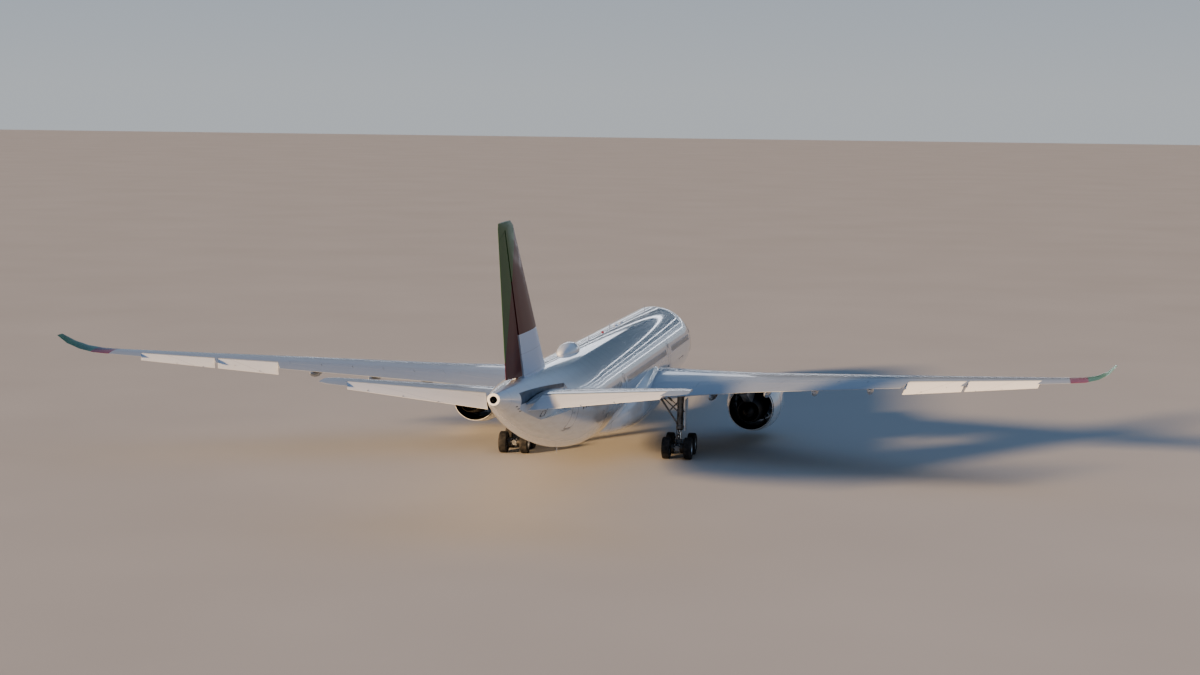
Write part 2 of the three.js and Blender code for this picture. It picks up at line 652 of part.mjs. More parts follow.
// The room outboard of the flats on both sides of the hull.
function outboard(off, from, to, low, high) {
  const ring = (z) => [v3(tailFlat(from, off), aft(from), z), v3(20, aft(from), z),
    v3(20, aft(to), z), v3(tailFlat(to, off), aft(to), z)];
  return loft([ring(low), ring(high)]);
}

function buildTailplane() {
  const whole = loft(TAILPLANE.map((row) => wingRing(row)))
    .intersect(outboard(0, 50, 63, 3, 12));
  const [p, q] = [ELEVATOR.inner, ELEVATOR.outer].map((out) => inWing(out, ELEVATOR.share, 0, TAILPLANE));
  const [surface, room] = cutSurface(whole, p.point, q.point, p.half, q.half, SURFACE_DEEP, SURFACE_HIGH);
  const [elevator, half] = pinned(surface, whole.subtract(room), p.point, q.point, 0.035, 0.08, -ELEVATOR.droop);
  return { elevator, half, a: p.point, b: q.point };
}

// Landing gear
const MAIN_OUT = 5.34;
const MAIN_STATION = 32.05;
const AXLE_HALF = 0.99; // half the distance between a bogie's axles
const MAIN_TYRE = { radius: 0.7, half: 0.265, apart: 0.7, axle: 0.1 };
const NOSE_STATION = 6.67;
const NOSE_TYRE = { radius: 0.525, half: 0.195, apart: 0.36, axle: 0.07 };
const WHEEL_SIDES = 20;
const BOGIE_PIVOT = 0.12;

// Two tyres, their hubs and the axle between them, in one turned profile.
function wheelPair(tyre, centre) {
  const { half, apart, axle } = tyre;
  const radius = tyre.radius / Math.cos(Math.PI / WHEEL_SIDES);
  const rim = radius * 0.52;
  const end = [
    // radius, distance outboard of the tyre's middle
    [axle, -half * 0.7], [rim, -half * 0.92], [radius * 0.76, -half], [radius, -half * 0.5],
    [radius, half * 0.5], [radius * 0.76, half], [rim, half * 0.92], [rim * 0.8, half * 0.6],
    [0, half * 0.75],
  ];
  const one = end.map(([r, x]) => [r, apart + x]);
  const other = [...one].reverse().map(([r, x]) => [r, -x]);
  // Half a step round puts a flat of the tyre on the ground.
  return turned([...other, ...one], centre, v3(1, 0, 0), WHEEL_SIDES, Math.PI / WHEEL_SIDES);
}

const axleBore = (tyre, centre, reach) => {
  const radius = (tyre.axle + PIN_CLEAR) / Math.cos(Math.PI / ROUND);
  return rod(v3(centre.x - reach, centre.y, centre.z), v3(centre.x + reach, centre.y, centre.z), radius);
};

const mainAxle = (sign) =>
  v3(MAIN_OUT, aft(MAIN_STATION + sign * AXLE_HALF), MAIN_TYRE.radius);

function mainBogie() {
  const z = MAIN_TYRE.radius;
  const [front, rear] = [mainAxle(-1), mainAxle(1)];
  const beam = rod(v3(MAIN_OUT, front.y - 0.2, z), v3(MAIN_OUT, rear.y + 0.2, z), 0.17, 0.17, 12);
  const pivotAt = (x) => v3(x, aft(MAIN_STATION), z);
  const pivot = rod(pivotAt(MAIN_OUT - 0.27), pivotAt(MAIN_OUT + 0.27), BOGIE_PIVOT);
  return beam.add(pivot).subtract(axleBore(MAIN_TYRE, front, 0.5)).subtract(axleBore(MAIN_TYRE, rear, 0.5));
}

function mainLeg() {
  const top = v3(MAIN_OUT, aft(31.55), 4.3);
  const foot = v3(MAIN_OUT, aft(MAIN_STATION), MAIN_TYRE.radius);
  const on = (z) => top.clone().lerp(foot, (top.z - z) / (top.z - foot.z));
  const at = (out, station, z) => v3(out, aft(station), z);
  const fork = box(at(MAIN_OUT - 0.27, 31.87, 0.56), at(MAIN_OUT + 0.27, 32.23, 1.16))
    .subtract(box(at(MAIN_OUT - 0.18, 31, 0.4), at(MAIN_OUT + 0.18, 33, 0.7 + 0.18)))
    .subtract(rod(at(MAIN_OUT - 1, MAIN_STATION, foot.z), at(MAIN_OUT + 1, MAIN_STATION, foot.z),
      BOGIE_PIVOT + GAP));
  return all([
    rod(top, on(1.75), 0.21, 0.2, 12),
    rod(on(1.85), on(1.72), 0.25, 0.25, 12),
    rod(on(1.8), on(1.1), 0.14, 0.14, 10),
    fork,
    rod(at(4.0, 31.75, 3.8), at(5.2, 31.85, 2.05), 0.075, 0.065, 6),
    rod(at(4.62, 31.8, 2.9), at(5.3, 31.62, 3.62), 0.045, 0.045, 6),
    rod(at(5.34, 30.2, 3.75), at(5.34, 31.8, 2.2), 0.08, 0.07, 6),
    rod(at(MAIN_OUT, 31.85, 1.78), at(MAIN_OUT, 32.5, 1.45), 0.05, 0.04, 6),
    rod(at(MAIN_OUT, 32.5, 1.47), at(MAIN_OUT, 32.12, 1.05), 0.05, 0.04, 6),
    rod(at(MAIN_OUT + 0.1, 31.78, 2.9), at(MAIN_OUT + 0.36, 31.78, 2.9), 0.05, 0.05, 6),
    rod(at(MAIN_OUT + 0.1, 31.9, 1.95), at(MAIN_OUT + 0.36, 31.9, 1.95), 0.05, 0.05, 6),
  ]);
}

function mainLegDoor() {
  return sidePlate(
    [[aft(31.05), 3.72], [aft(32.35), 3.72], [aft(32.55), 1.75], [aft(31.45), 1.75]],
    MAIN_OUT + 0.361, MAIN_OUT + 0.421);
}

const NOSE_AXLE = v3(0, aft(NOSE_STATION), NOSE_TYRE.radius);
const NOSE_COLLAR_Z = 1.32;
const NOSE_PISTON = 0.09;
const NOSE_BAY = { from: 6.05, to: 7.55, half: 0.5, roof: 2.55 };

// The upper leg, its drag struts and its seat in the bay's roof. It doesn't turn.
function noseLeg() {
  const at = (x, station, z) => v3(x, aft(station), z);
  return all([
    rod(at(0, NOSE_STATION, NOSE_BAY.roof - GAP), at(0, NOSE_STATION, NOSE_COLLAR_Z), 0.13, 0.13, 14),
    rod(at(0, NOSE_STATION, 1.5), at(0, NOSE_STATION, NOSE_COLLAR_Z), 0.17, 0.17, 14),
    rod(at(-0.3, 7.35, NOSE_BAY.roof - GAP), at(0, 6.75, 1.75), 0.05, 0.05, 6),
    rod(at(0.3, 7.35, NOSE_BAY.roof - GAP), at(0, 6.75, 1.75), 0.05, 0.05, 6),
  ]).subtract(bore(at(0, NOSE_STATION, 1.9), at(0, NOSE_STATION, 1.0), NOSE_PISTON, 14))
    .intersect(box(at(-1, 5, 0), at(1, 9, NOSE_BAY.roof - GAP)));
}

// The part of the nose leg that steers: piston, axle housing and torque link.
function noseFork() {
  const at = (x, y, z) => v3(x, aft(NOSE_STATION) + y, z);
  const z = NOSE_TYRE.radius;
  return all([
    rod(at(0, 0, 1.85), at(0, 0, z), NOSE_PISTON, NOSE_PISTON, 14),
    rod(at(0, 0, NOSE_COLLAR_Z - CLEAR), at(0, 0, 1.14), 0.16, 0.16, 14),
    rod(at(-0.15, 0, z), at(0.15, 0, z), 0.13, 0.13, 12),
    rod(at(0, -0.1, 1.2), at(0, -0.34, 0.95), 0.04, 0.035, 6),
    rod(at(0, -0.34, 0.97), at(0, -0.08, 0.62), 0.04, 0.035, 6),
  ]).subtract(axleBore(NOSE_TYRE, NOSE_AXLE, 0.5));
}

function noseDoor(side) {
  const x = side * (NOSE_BAY.half - 0.028 - GAP);
  const [from, to] = [NOSE_BAY.from + 0.02, NOSE_BAY.to - 0.02];
  return sidePlate([[aft(from), 2.0], [aft(to), 2.0], [aft(to - 0.08), 1.12], [aft(from + 0.12), 1.12]],
    Math.min(x, x + side * 0.028), Math.max(x, x + side * 0.028));
}

// Cargo doors on the starboard side, each over a hold that is open inside
const CARGO_DOORS = {
  // name: its first and last station
  cargo_door_front: [10.6, 13.3],
  cargo_door_rear: [38.0, 40.7],
};
const DOOR_TOP = -0.6; // from the fuselage axis
const DOOR_BOTTOM = -2.2;
const DOOR_THICK = 0.12;
const HOLD = { lip: 0.15, across: 1.0 };

// A door's outline seen along the aircraft. Its lower edge is square to the hinge's radius.
function doorOutline(station, grow) {
  const z0 = axisZ(station);
  const hinge = new THREE.Vector2(-Math.sqrt(BARREL_RADIUS ** 2 - DOOR_TOP ** 2), DOOR_TOP);
  const sill = new THREE.Vector2(-Math.sqrt(BARREL_RADIUS ** 2 - DOOR_BOTTOM ** 2), DOOR_BOTTOM);
  const radius = sill.clone().sub(hinge).normalize();
  const edge = new THREE.Vector2(-radius.y, radius.x).multiplyScalar(0.45);
  const low = sill.clone().addScaledVector(radius, grow);
  const corners = [
    [-3.3, DOOR_TOP + 2 * grow], [-2.2, DOOR_TOP + 2 * grow],
    [low.x + edge.x, low.y + edge.y], [low.x - edge.x, low.y - edge.y],
  ];
  return { hinge, corners: corners.map(([x, z]) => [x, z + z0]) };
}

function doorPrism(from, to, grow) {
  const ring = (station) => doorOutline(station, grow).corners.map(([x, z]) => v3(x, aft(station), z));
  return loft([ring(from - grow), ring(to + grow)]);
}

function buildCargoDoor(name) {
  const [from, to] = CARGO_DOORS[name];
  const skin = (depth) => hull(9.0, 41.5, -depth);
  const place = (station) => {
    const { hinge } = doorOutline(station, 0);
    return v3(hinge.x + 0.045, aft(station), axisZ(station) + hinge.y - 0.03);
  };
  const [a, b] = [place(from + 0.03), place(to - 0.03)];
  const panel = hull(9.0, 41.5).intersect(doorPrism(from, to, 0)).subtract(skin(DOOR_THICK));
  const room = doorPrism(from, to, CLEAR * 1.5).subtract(skin(DOOR_THICK + CLEAR));
  const hold = box(
    v3(-3, aft(from + HOLD.lip), axisZ(to) + DOOR_BOTTOM + HOLD.lip),
    v3(HOLD.across, aft(to - HOLD.lip), axisZ(from) + DOOR_TOP - HOLD.lip));
  const lug = { width: 0.1, lug: 0.045, pin: 0.022 };
  const along = b.clone().sub(a).normalize();
  let [door, frame] = [panel, fuselage.fuselage.subtract(room).subtract(hold)];
  for (const share of [0.15, 0.85]) {
    const p = a.clone().lerp(b, share);
    const half = lug.width / 2;
    const end = (reach) => [-reach, reach].map((off) => p.clone().addScaledVector(along, off));
    door = door.subtract(rod(...end(half + CLEAR), 0.13, 0.13, 12))
      .add(rod(...end(half + 4 * CLEAR), lug.pin));
    const arm = box(v3(p.x - 0.045, p.y - half, p.z), v3(p.x + 0.07, p.y + half, p.z + 0.16));
    frame = frame.add(rod(...end(half), lug.lug).add(arm)
      .intersect(hull(9.0, 41.5, -0.002))
      .subtract(bore(...end(half * 2), lug.pin)));
  }
  fuselage.fuselage = frame;
  return { door, a, b };
}

// Cockpit windows: a band let into the nose section
const WINDOW_BAND = [
  // station, height from the fuselage axis
  [1.75, 0.5], [4.0, 0.5], [3.75, 1.0], [3.2, 1.22], [2.0, 1.22],
];
const WINDOW_DEEP = 0.06;

function buildCockpitWindows() {
  const outline = WINDOW_BAND.map(([station, z]) => new THREE.Vector2(aft(station), axisZ(station) + z));
  const middle = outline.reduce((sum, p) => sum.add(p), new THREE.Vector2()).divideScalar(outline.length);
  const band = (grow) => sidePlate(
    outline.map((p) => p.clone().add(p.clone().sub(middle).setLength(grow)).toArray()), -3, 3);
  fuselage.fuselage = fuselage.fuselage.subtract(band(4 * GAP).subtract(hull(1.0, 9.0, -WINDOW_DEEP)));
  return band(0).intersect(hull(1.7, 9.0)).subtract(hull(1.0, 9.0, -WINDOW_DEEP + GAP));
}

// The starboard copy of a port piece.
function mirrored(made) {
  const mesh = made.getMesh();
  const places = Float32Array.from(mesh.vertProperties, (value, i) => (i % mesh.numProp === 0 ? -value : value));
  return new wasm.Manifold(
    new wasm.Mesh({ numProp: mesh.numProp, vertProperties: places, triVerts: Uint32Array.from(mesh.triVerts).reverse() }),
  );
}

const largest = (made) => made.decompose().sort((a, b) => b.volume() - a.volume())[0];
const flip = (p) => v3(-p.x, p.y, p.z);

// Adds a piece on both sides. A moving one has its hinge line from a to b, port side.
function bothSides(name, material, made, hinge) {
  const port = piece(`${name}_left`, material, made);
  const starboard = piece(`${name}_right`, material, mirrored(made));
  if (!hinge) return;
  const { a, b, rest = 0 } = hinge;
  const along = b.clone().sub(a);
  turning(port, a, along, rest);
  turning(starboard, flip(a), flip(along).negate(), rest);
}

// Fuselage pieces
const windows = buildCockpitWindows();
const bayRoom = box(
  v3(-NOSE_BAY.half, aft(NOSE_BAY.from), 0), v3(NOSE_BAY.half, aft(NOSE_BAY.to), NOSE_BAY.roof));
fuselage.fuselage = fuselage.fuselage.subtract(bayRoom);
const exhaust = rod(v3(0, aft(62.9), axisZ(62.9) + 2.31), v3(0, aft(64), axisZ(64) + 2.34), 0.2, 0.2, 12);
fuselage.tail_cone = fuselage.tail_cone.subtract(exhaust);
const doors = Object.keys(CARGO_DOORS).map((name) => [name, buildCargoDoor(name)]);
const tailRoom = outboard(-TAIL_GAP, 53.3, 61, 6.05, 8.2);
const pivotAt = (x) => v3(x, aft(TAIL_PIVOT.station), TAIL_PIVOT.z);
fuselage.fuselage = fuselage.fuselage
  .subtract(tailRoom)
  .subtract(mirrored(tailRoom))
  .subtract(bore(pivotAt(-3), pivotAt(3), TAIL_PIVOT.radius, 16));
fuselage.tail_cone = fuselage.tail_cone.subtract(tailRoom).subtract(mirrored(tailRoom));
const tail = buildFin();
[, fuselage.fuselage] = pinned(tail.rudder, fuselage.fuselage, tail.low, tail.high, 0.07, 0.3);
for (const [name, made] of Object.entries(fuselage)) piece(name, WHITE, largest(made));
piece("cockpit_windows", GLASS, windows);
piece("belly_fairing", WHITE, bellyFairing);
for (const [name, { door, a, b }] of doors) turning(piece(name, WHITE, largest(door)), a, b.clone().sub(a));

// Wing pieces
const wing = buildWing();
bothSides("wing", WHITE, wing.wing.made);
bothSides("winglet", GREEN, wingletLoft());
for (const name of Object.keys(SLATS)) bothSides(name, BARE, largest(wing[name].made));
for (const name of Object.keys(FLAPS)) bothSides(name, WHITE, largest(wing[name].made));
for (const name of [...Object.keys(AILERONS), ...Object.keys(SPOILERS)]) {
  bothSides(name, WHITE, largest(wing[name].made), wing[name]);
}

// Engines
const centre = engineCentre(FAN_STATION);
bothSides("pylon", GREY, largest(pylon()));
bothSides("nacelle", WHITE, engineBody(NACELLE));
bothSides("engine_core", DARK, engineCore());
bothSides("fan", DARK, fan(), { a: centre, b: centre.clone().add(v3(0, 1, 0)) });

// Tail pieces
piece("fin", RED, largest(tail.fin));
turning(piece("rudder", GREEN, largest(tail.rudder)), tail.low, tail.high.clone().sub(tail.low));
const stabiliser = buildTailplane();
const spar = rod(pivotAt(-2), pivotAt(2), TAIL_PIVOT.radius, TAIL_PIVOT.radius, 16);
turning(piece("tailplane", WHITE, all([stabiliser.half, mirrored(stabiliser.half), spar])),
  pivotAt(0), v3(1, 0, 0));
bothSides("elevator", WHITE, largest(stabiliser.elevator),
  { a: stabiliser.a, b: stabiliser.b, rest: -ELEVATOR.droop });

// Landing gear pieces
const clearOfWing = (made) =>
  largest(made.subtract(wingRoom).subtract(fairingForCuts).subtract(hullForCuts));
bothSides("main_gear_leg", STEEL, clearOfWing(mainLeg()));
bothSides("main_gear_door", WHITE, clearOfWing(mainLegDoor()));
bothSides("main_gear_bogie", STEEL, mainBogie());
for (const [place, sign] of [["front", -1], ["rear", 1]]) {
  const axle = mainAxle(sign);
  bothSides(`main_wheels_${place}`, RUBBER, wheelPair(MAIN_TYRE, axle),
    { a: axle, b: axle.clone().add(v3(1, 0, 0)) });
}
piece("nose_gear_leg", STEEL, noseLeg());
turning(piece("nose_gear_fork", STEEL, noseFork()), NOSE_AXLE, v3(0, 0, 1));
piece("nose_gear_door_left", WHITE, noseDoor(1));
piece("nose_gear_door_right", WHITE, noseDoor(-1));
turning(piece("nose_wheels", RUBBER, wheelPair(NOSE_TYRE, NOSE_AXLE)), NOSE_AXLE, v3(1, 0, 0));

export default aircraft;
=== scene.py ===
# %% [markdown]
# # A wide-body airliner, dressed for its portrait
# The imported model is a 1:2 scale model of a twin-engined airliner. It already has every part
# that moves, at its right size. This script gives those parts the surfaces of the real
# aircraft: smooth skins, painted metal, glass, rubber and bare alloy.

# %% Load the fixed frame
import json
import math
from functools import partial

import bmesh
import bpy
import numpy as np
from mathutils import Matrix, Vector


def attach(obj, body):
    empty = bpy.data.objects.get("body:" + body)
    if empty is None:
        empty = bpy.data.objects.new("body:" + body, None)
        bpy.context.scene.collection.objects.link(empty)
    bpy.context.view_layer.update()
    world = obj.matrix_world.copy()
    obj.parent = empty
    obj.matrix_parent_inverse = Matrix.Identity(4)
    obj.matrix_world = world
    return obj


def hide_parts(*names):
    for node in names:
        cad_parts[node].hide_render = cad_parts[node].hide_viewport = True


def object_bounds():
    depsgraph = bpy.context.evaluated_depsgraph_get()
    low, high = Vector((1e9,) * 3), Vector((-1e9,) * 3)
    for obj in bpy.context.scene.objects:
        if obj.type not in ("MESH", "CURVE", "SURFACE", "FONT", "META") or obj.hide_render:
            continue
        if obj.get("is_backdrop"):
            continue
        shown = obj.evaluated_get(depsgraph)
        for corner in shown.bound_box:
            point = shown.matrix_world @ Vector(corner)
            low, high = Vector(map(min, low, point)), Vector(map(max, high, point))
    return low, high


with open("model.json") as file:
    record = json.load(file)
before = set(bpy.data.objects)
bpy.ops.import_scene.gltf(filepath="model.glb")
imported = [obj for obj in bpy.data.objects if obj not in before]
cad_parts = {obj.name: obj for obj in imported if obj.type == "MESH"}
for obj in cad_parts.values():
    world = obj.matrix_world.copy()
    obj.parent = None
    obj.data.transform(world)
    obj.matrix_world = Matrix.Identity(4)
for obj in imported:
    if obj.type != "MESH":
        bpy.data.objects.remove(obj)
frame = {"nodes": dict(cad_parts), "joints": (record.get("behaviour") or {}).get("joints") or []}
cad_low, cad_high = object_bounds()
joints = {joint["name"]: joint for joint in frame["joints"]}

# %% [markdown]
# Aircraft drawings give a place as a station, which is the distance aft of the nose. Sizes
# here are written the same way, in metres of the full-size aircraft, because they can then be
# compared with the real one. One function turns them into the half-size model's metres.

# %% Places and sizes of the full-size aircraft
SCALE = 0.5
LENGTH = (cad_high.y - cad_low.y) / SCALE
AXIS_HEIGHT = 4.32  # of the fuselage axis above the ground, at the nose
AXIS_SLOPE = 0.0206  # its rise in a metre, because the aircraft stands a little nose-down
SIDES = {"left": 1, "right": -1}


def place(x, station, z):
    return Vector((x, station - LENGTH / 2, z)) * SCALE


def axis_z(station):
    return AXIS_HEIGHT + AXIS_SLOPE * station


def mm(size):
    """Full-size millimetres in the model's metres."""
    return size / 1000 * SCALE


def angles(count, shift=0.0):
    """Equal steps round a circle."""
    return [2 * math.pi * (i + shift) / count for i in range(count)]


print("full-size length", round(LENGTH, 2), "m")

# %% [markdown]
# The camera comes first. It stands where the photograph was taken: on a roof behind the
# aircraft and to starboard, with a long lens. The angles come from matching the known span,
# length and height of the aircraft with where they lie in the picture.

# %% Camera at the photograph's place
CAMERA_PLACE = (-23.43, 169.86, 23.64)
CAMERA_DEGREES = (83.45, -0.52, -170.32)
LENS_MM = 65.19


def linked(name, data):
    """A new object in the scene."""
    made = bpy.data.objects.new(name, data)
    bpy.context.scene.collection.objects.link(made)
    return made


camera_data = bpy.data.cameras.new("camera")
camera_data.lens = LENS_MM
camera_data.sensor_width = 36
camera_data.clip_end = 2000
camera = linked("camera", camera_data)
camera.location = place(*CAMERA_PLACE)
camera.rotation_euler = [math.radians(angle) for angle in CAMERA_DEGREES]
bpy.context.scene.camera = camera
print("camera at", [round(value, 2) for value in camera.location])

# %% [markdown]
# Every surface gets a material made of nodes, so one small function adds a node, sets it and
# links what feeds it. Colours are written as the hex values that a paint chart would give,
# and one function turns them from sRGB to the linear values that Blender computes with.

# %% Node and colour helpers


def linear(hex_colour):
    channels = [int(hex_colour[i : i + 2], 16) / 255 for i in (1, 3, 5)]
    return (*(c / 12.92 if c <= 0.04045 else ((c + 0.055) / 1.055) ** 2.4 for c in channels), 1.0)


def feed(target, inputs):
    """Sets a node's inputs. Each is a number, a hex colour, or a node or socket to link from."""
    for name, value in inputs.items():
        if isinstance(value, bpy.types.Node):
            value = next(socket for socket in value.outputs if socket.enabled)
        if isinstance(value, bpy.types.NodeSocket):
            target.id_data.links.new(value, target.inputs[name])
        else:
            target.inputs[name].default_value = linear(value) if isinstance(value, str) else value


def node(tree, kind, inputs=None, stops=(), **settings):
    """Adds a node. A colour ramp also has stops, which are (position, colour) pairs."""
    made = tree.nodes.new("ShaderNode" + kind)
    for name, value in settings.items():
        setattr(made, name, value)
    if stops:
        elements = made.color_ramp.elements
        while len(elements) < len(stops):
            elements.new(0.5)
        for element, (position, colour) in zip(elements, stops):
            element.position, element.color = position, linear(colour)
    feed(made, inputs or {})
    return made


def new_material(name):
    """An empty material, a function that adds nodes to it, its shader and its coordinates."""
    material = bpy.data.materials.new(name)
    material.use_nodes = True
    add = partial(node, material.node_tree)
    return material, add, material.node_tree.nodes["Principled BSDF"], add("TexCoord").outputs


print("the hull's white is", [round(c, 3) for c in linear("#E6E6E4")])

# %% [markdown]
# Big smooth skins are lofts: rings of points, one behind the other, joined by quads. The
# numbers of the rings come from short tables, and a monotone cubic curve through each column
# rounds the shape between the rows without overshooting them.

# %% Curves through a table


def smooth_column(xs, ys, at):
    """Monotone cubic interpolation of ys over xs, evaluated at a list of places."""
    xs, ys, at = (np.asarray(values, float) for values in (xs, ys, at))
    step, rise = np.diff(xs), np.diff(ys)
    slope = rise / step
    tangent = np.zeros_like(ys)
    tangent[0], tangent[-1] = slope[0], slope[-1]
    for i in range(1, len(xs) - 1):
        if slope[i - 1] * slope[i] > 0:
            w1, w2 = 2 * step[i] + step[i - 1], step[i] + 2 * step[i - 1]
            tangent[i] = (w1 + w2) / (w1 / slope[i - 1] + w2 / slope[i])
    k = np.clip(np.searchsorted(xs, at, side="right") - 1, 0, len(xs) - 2)
    t = (at - xs[k]) / step[k]
    return (
        (2 * t**3 - 3 * t**2 + 1) * ys[k] + (t**3 - 2 * t**2 + t) * step[k] * tangent[k]
        + (3 * t**2 - 2 * t**3) * ys[k + 1] + (t**3 - t**2) * step[k] * tangent[k + 1]
    )


def between(rows, at):
    """The value at one place of a table of (place, value) rows."""
    return float(smooth_column(*zip(*rows), [at])[0])


print("halfway up a smooth step the curve is at", between(((0, 0), (1, 0), (2, 1), (3, 1)), 1.5))

# %% Meshes from points
WELD = 1e-5


def mesh_object(name, points, faces):
    """A closed mesh with doubled points merged and all faces turned outwards."""
    mesh = bpy.data.meshes.new(name)
    mesh.from_pydata([tuple(p) for p in points], [], faces)
    mesh.validate()
    work = bmesh.new()
    work.from_mesh(mesh)
    bmesh.ops.remove_doubles(work, verts=work.verts, dist=WELD)
    bmesh.ops.recalc_face_normals(work, faces=work.faces)
    work.to_mesh(mesh)
    work.free()
    return linked(name, mesh)


def loft(name, rings, closed=False):
    """Joins rings of equally many points. A closed loft joins its last ring to its first."""
    n, count = len(rings[0]), len(rings)
    faces = [
        (r * n + i, r * n + (i + 1) % n, (r + 1) % count * n + (i + 1) % n, (r + 1) % count * n + i)
        for r in range(count if closed else count - 1) for i in range(n)
    ]
    if not closed:
        faces += [tuple(range(n))[::-1], tuple(range((count - 1) * n, count * n))]
    return mesh_object(name, [p for ring in rings for p in ring], faces)


def lathe(name, profile, centre, axis=(0, 1, 0), sides=64, closed=False):
    """Turns (radius, along) pairs, in full-size metres, about an axis through a place."""
    along = Vector(axis).normalized()
    across = Vector((1, 0, 0)) if abs(along.x) < 0.9 else Vector((0, 0, 1))
    across = (across - along * across.dot(along)).normalized()
    up = along.cross(across)
    spokes = [across * math.cos(a) + up * math.sin(a) for a in angles(sides)]
    return loft(name, [
        [Vector(centre) + (along * off + spoke * radius) * SCALE for spoke in spokes]
        for radius, off in profile
    ], closed)


def tube(name, path, radii, sides=24):
    """A round rod through places. radii is one full-size radius, or one for each place."""
    points = [Vector(p) for p in path]
    if isinstance(radii, float):
        radii = [radii] * len(points)
    rings, across = [], None
    for i, point in enumerate(points):
        along = (points[min(i + 1, len(points) - 1)] - points[max(i - 1, 0)]).normalized()
        across = along.orthogonal() if across is None else across - along * across.dot(along)
        across.normalize()
        up = along.cross(across)
        rings.append([
            point + (across * math.cos(a) + up * math.sin(a)) * radii[i] * SCALE for a in angles(sides)])
    return loft(name, rings)


def block(name, low, high):
    """A box between two places."""
    corners = [(x, y, z) for x in (low[0], high[0]) for y in (low[1], high[1]) for z in (low[2], high[2])]
    faces = [(0, 1, 3, 2), (4, 6, 7, 5), (0, 4, 5, 1), (2, 3, 7, 6), (0, 2, 6, 4), (1, 5, 7, 3)]
    return mesh_object(name, corners, faces)


print("loft, lathe, tube and block merge points nearer than", WELD, "m")

# %% Cutting, joining and fitting meshes
SMOOTH_ANGLE = math.radians(32)


def modified(made, kind, **settings):
    """Adds a modifier and applies it to the mesh."""
    step = made.modifiers.new(kind.lower(), kind)
    for name, value in settings.items():
        setattr(step, name, value)
    old = made.data
    shape = bpy.data.meshes.new_from_object(made.evaluated_get(bpy.context.evaluated_depsgraph_get()))
    made.modifiers.clear()
    made.data = shape
    bpy.data.meshes.remove(old)
    return made


def boolean(made, tool, operation="DIFFERENCE"):
    """Cuts or joins two closed meshes and deletes the second."""
    modified(made, "BOOLEAN", operation=operation, solver="EXACT", object=tool)
    bpy.data.objects.remove(tool)
    return made


def bevelled(made, width, segments=2, degrees=35):
    """Rounds the hard edges of a mesh by a width in full-size metres."""
    return modified(made, "BEVEL", width=width * SCALE, segments=segments, limit_method="ANGLE",
                    angle_limit=math.radians(degrees), harden_normals=False)


def joined(name, objects):
    """Several meshes as one object. Each keeps its materials."""
    slots, work = [], bmesh.new()
    for made in objects:
        first = len(work.faces)
        work.from_mesh(made.data)
        work.faces.ensure_lookup_table()
        slots += [material for material in made.data.materials if material not in slots]
        numbers = [slots.index(material) for material in made.data.materials]
        for face in work.faces[first:]:
            face.material_index = numbers[face.material_index]
        bpy.data.objects.remove(made)
    mesh = bpy.data.meshes.new(name)
    work.to_mesh(mesh)
    work.free()
    for material in slots:
        mesh.materials.append(material)
    return linked(name, mesh)


def coated(made, material):
    made.data.materials.clear()
    made.data.materials.append(material)
    return made


def painted_where(made, material, test):
    """Gives a further material to the faces that pass a test, and counts them."""
    made.data.materials.append(material)
    chosen = [face for face in made.data.polygons if test(face)]
    for face in chosen:
        face.material_index = len(made.data.materials) - 1
    return len(chosen)


def fixed_to(made, body, replaces=()):
    """Fixes a piece to the body that it moves with, in place of some of the frame's nodes."""
    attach(made, body)
    if replaces:
        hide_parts(*replaces)


def fitted(made, body, replaces=(), angle=SMOOTH_ANGLE):
    """Shades a finished piece and fixes it to its body."""
    made.data.shade_smooth()
    made.data.set_sharp_from_angle(angle=angle)
    fixed_to(made, body, replaces)
    return made


def copy_of(name):
    """A welded copy of one of the frame's nodes, with its triangles merged into flat faces."""
    made = linked(name + "_skin", frame["nodes"][name].data.copy())
    work = bmesh.new()
    work.from_mesh(made.data)
    bmesh.ops.remove_doubles(work, verts=work.verts, dist=2 * WELD)
    bmesh.ops.dissolve_limit(work, verts=work.verts, edges=work.edges, angle_limit=math.radians(0.4))
    work.to_mesh(made.data)
    work.free()
    if made.data.has_custom_normals:
        made.data.attributes.remove(made.data.attributes["custom_normal"])
    return made


print("edges sharper than", round(math.degrees(SMOOTH_ANGLE)), "degrees stay hard")

# %% [markdown]
# The stage is a plain pale floor under a soft sky. The main light comes low from port and
# behind, as the sun did, warm and a little softened. A cool softbox opens the shaded side.
# Seen along its length, glossy paint mirrors what stands ahead of the nose. So the sky has a
# darker band there, above what the camera sees of it, and narrow panels stand before it. They
# draw long light streaks along the barrel.

# %% Stage, light and sky
FLOOR_SIZE = 900.0
KEY = {"azimuth": 217, "elevation": 14, "distance": 60, "colour": "#FFD9A8"}
KEY_POWER, KEY_SOFTNESS = 6.5, 5
FILL = {"azimuth": 120, "elevation": 50, "distance": 60, "colour": "#CFE0FF"}
FILL_POWER, FILL_SIZE = 2200, 40
PANELS = (
    # azimuth, elevation, width, height, power; all are seen in the gloss only
    (100, 40, 2.2, 60, 900), (2, 4.6, 46, 0.3, 125), (-2, 6.6, 60, 0.2, 110), (3, 8.2, 40, 0.22, 90),
    (-1, 10.0, 50, 0.3, 140), (-9, 12.5, 14, 3.5, 230),
)
PANEL_DISTANCE, PANEL_COLOUR = 70, "#F2F6FF"
SKY = ((0.0, "#DADFE4"), (0.1, "#BCCBDC"), (0.3, "#93ADCF"), (1.0, "#6C8EBF"))  # sine of the elevation
AHEAD = ((0.06, "#000000"), (0.09, "#FFFFFF"), (0.19, "#FFFFFF"), (0.26, "#000000"))  # how dark the band is
BAND_EDGES = (-0.94, -0.985)  # the band fades in between 20 and 10 degrees from straight ahead
BAND_COLOUR = "#4F5D66"
SKY_STRENGTH = 0.6


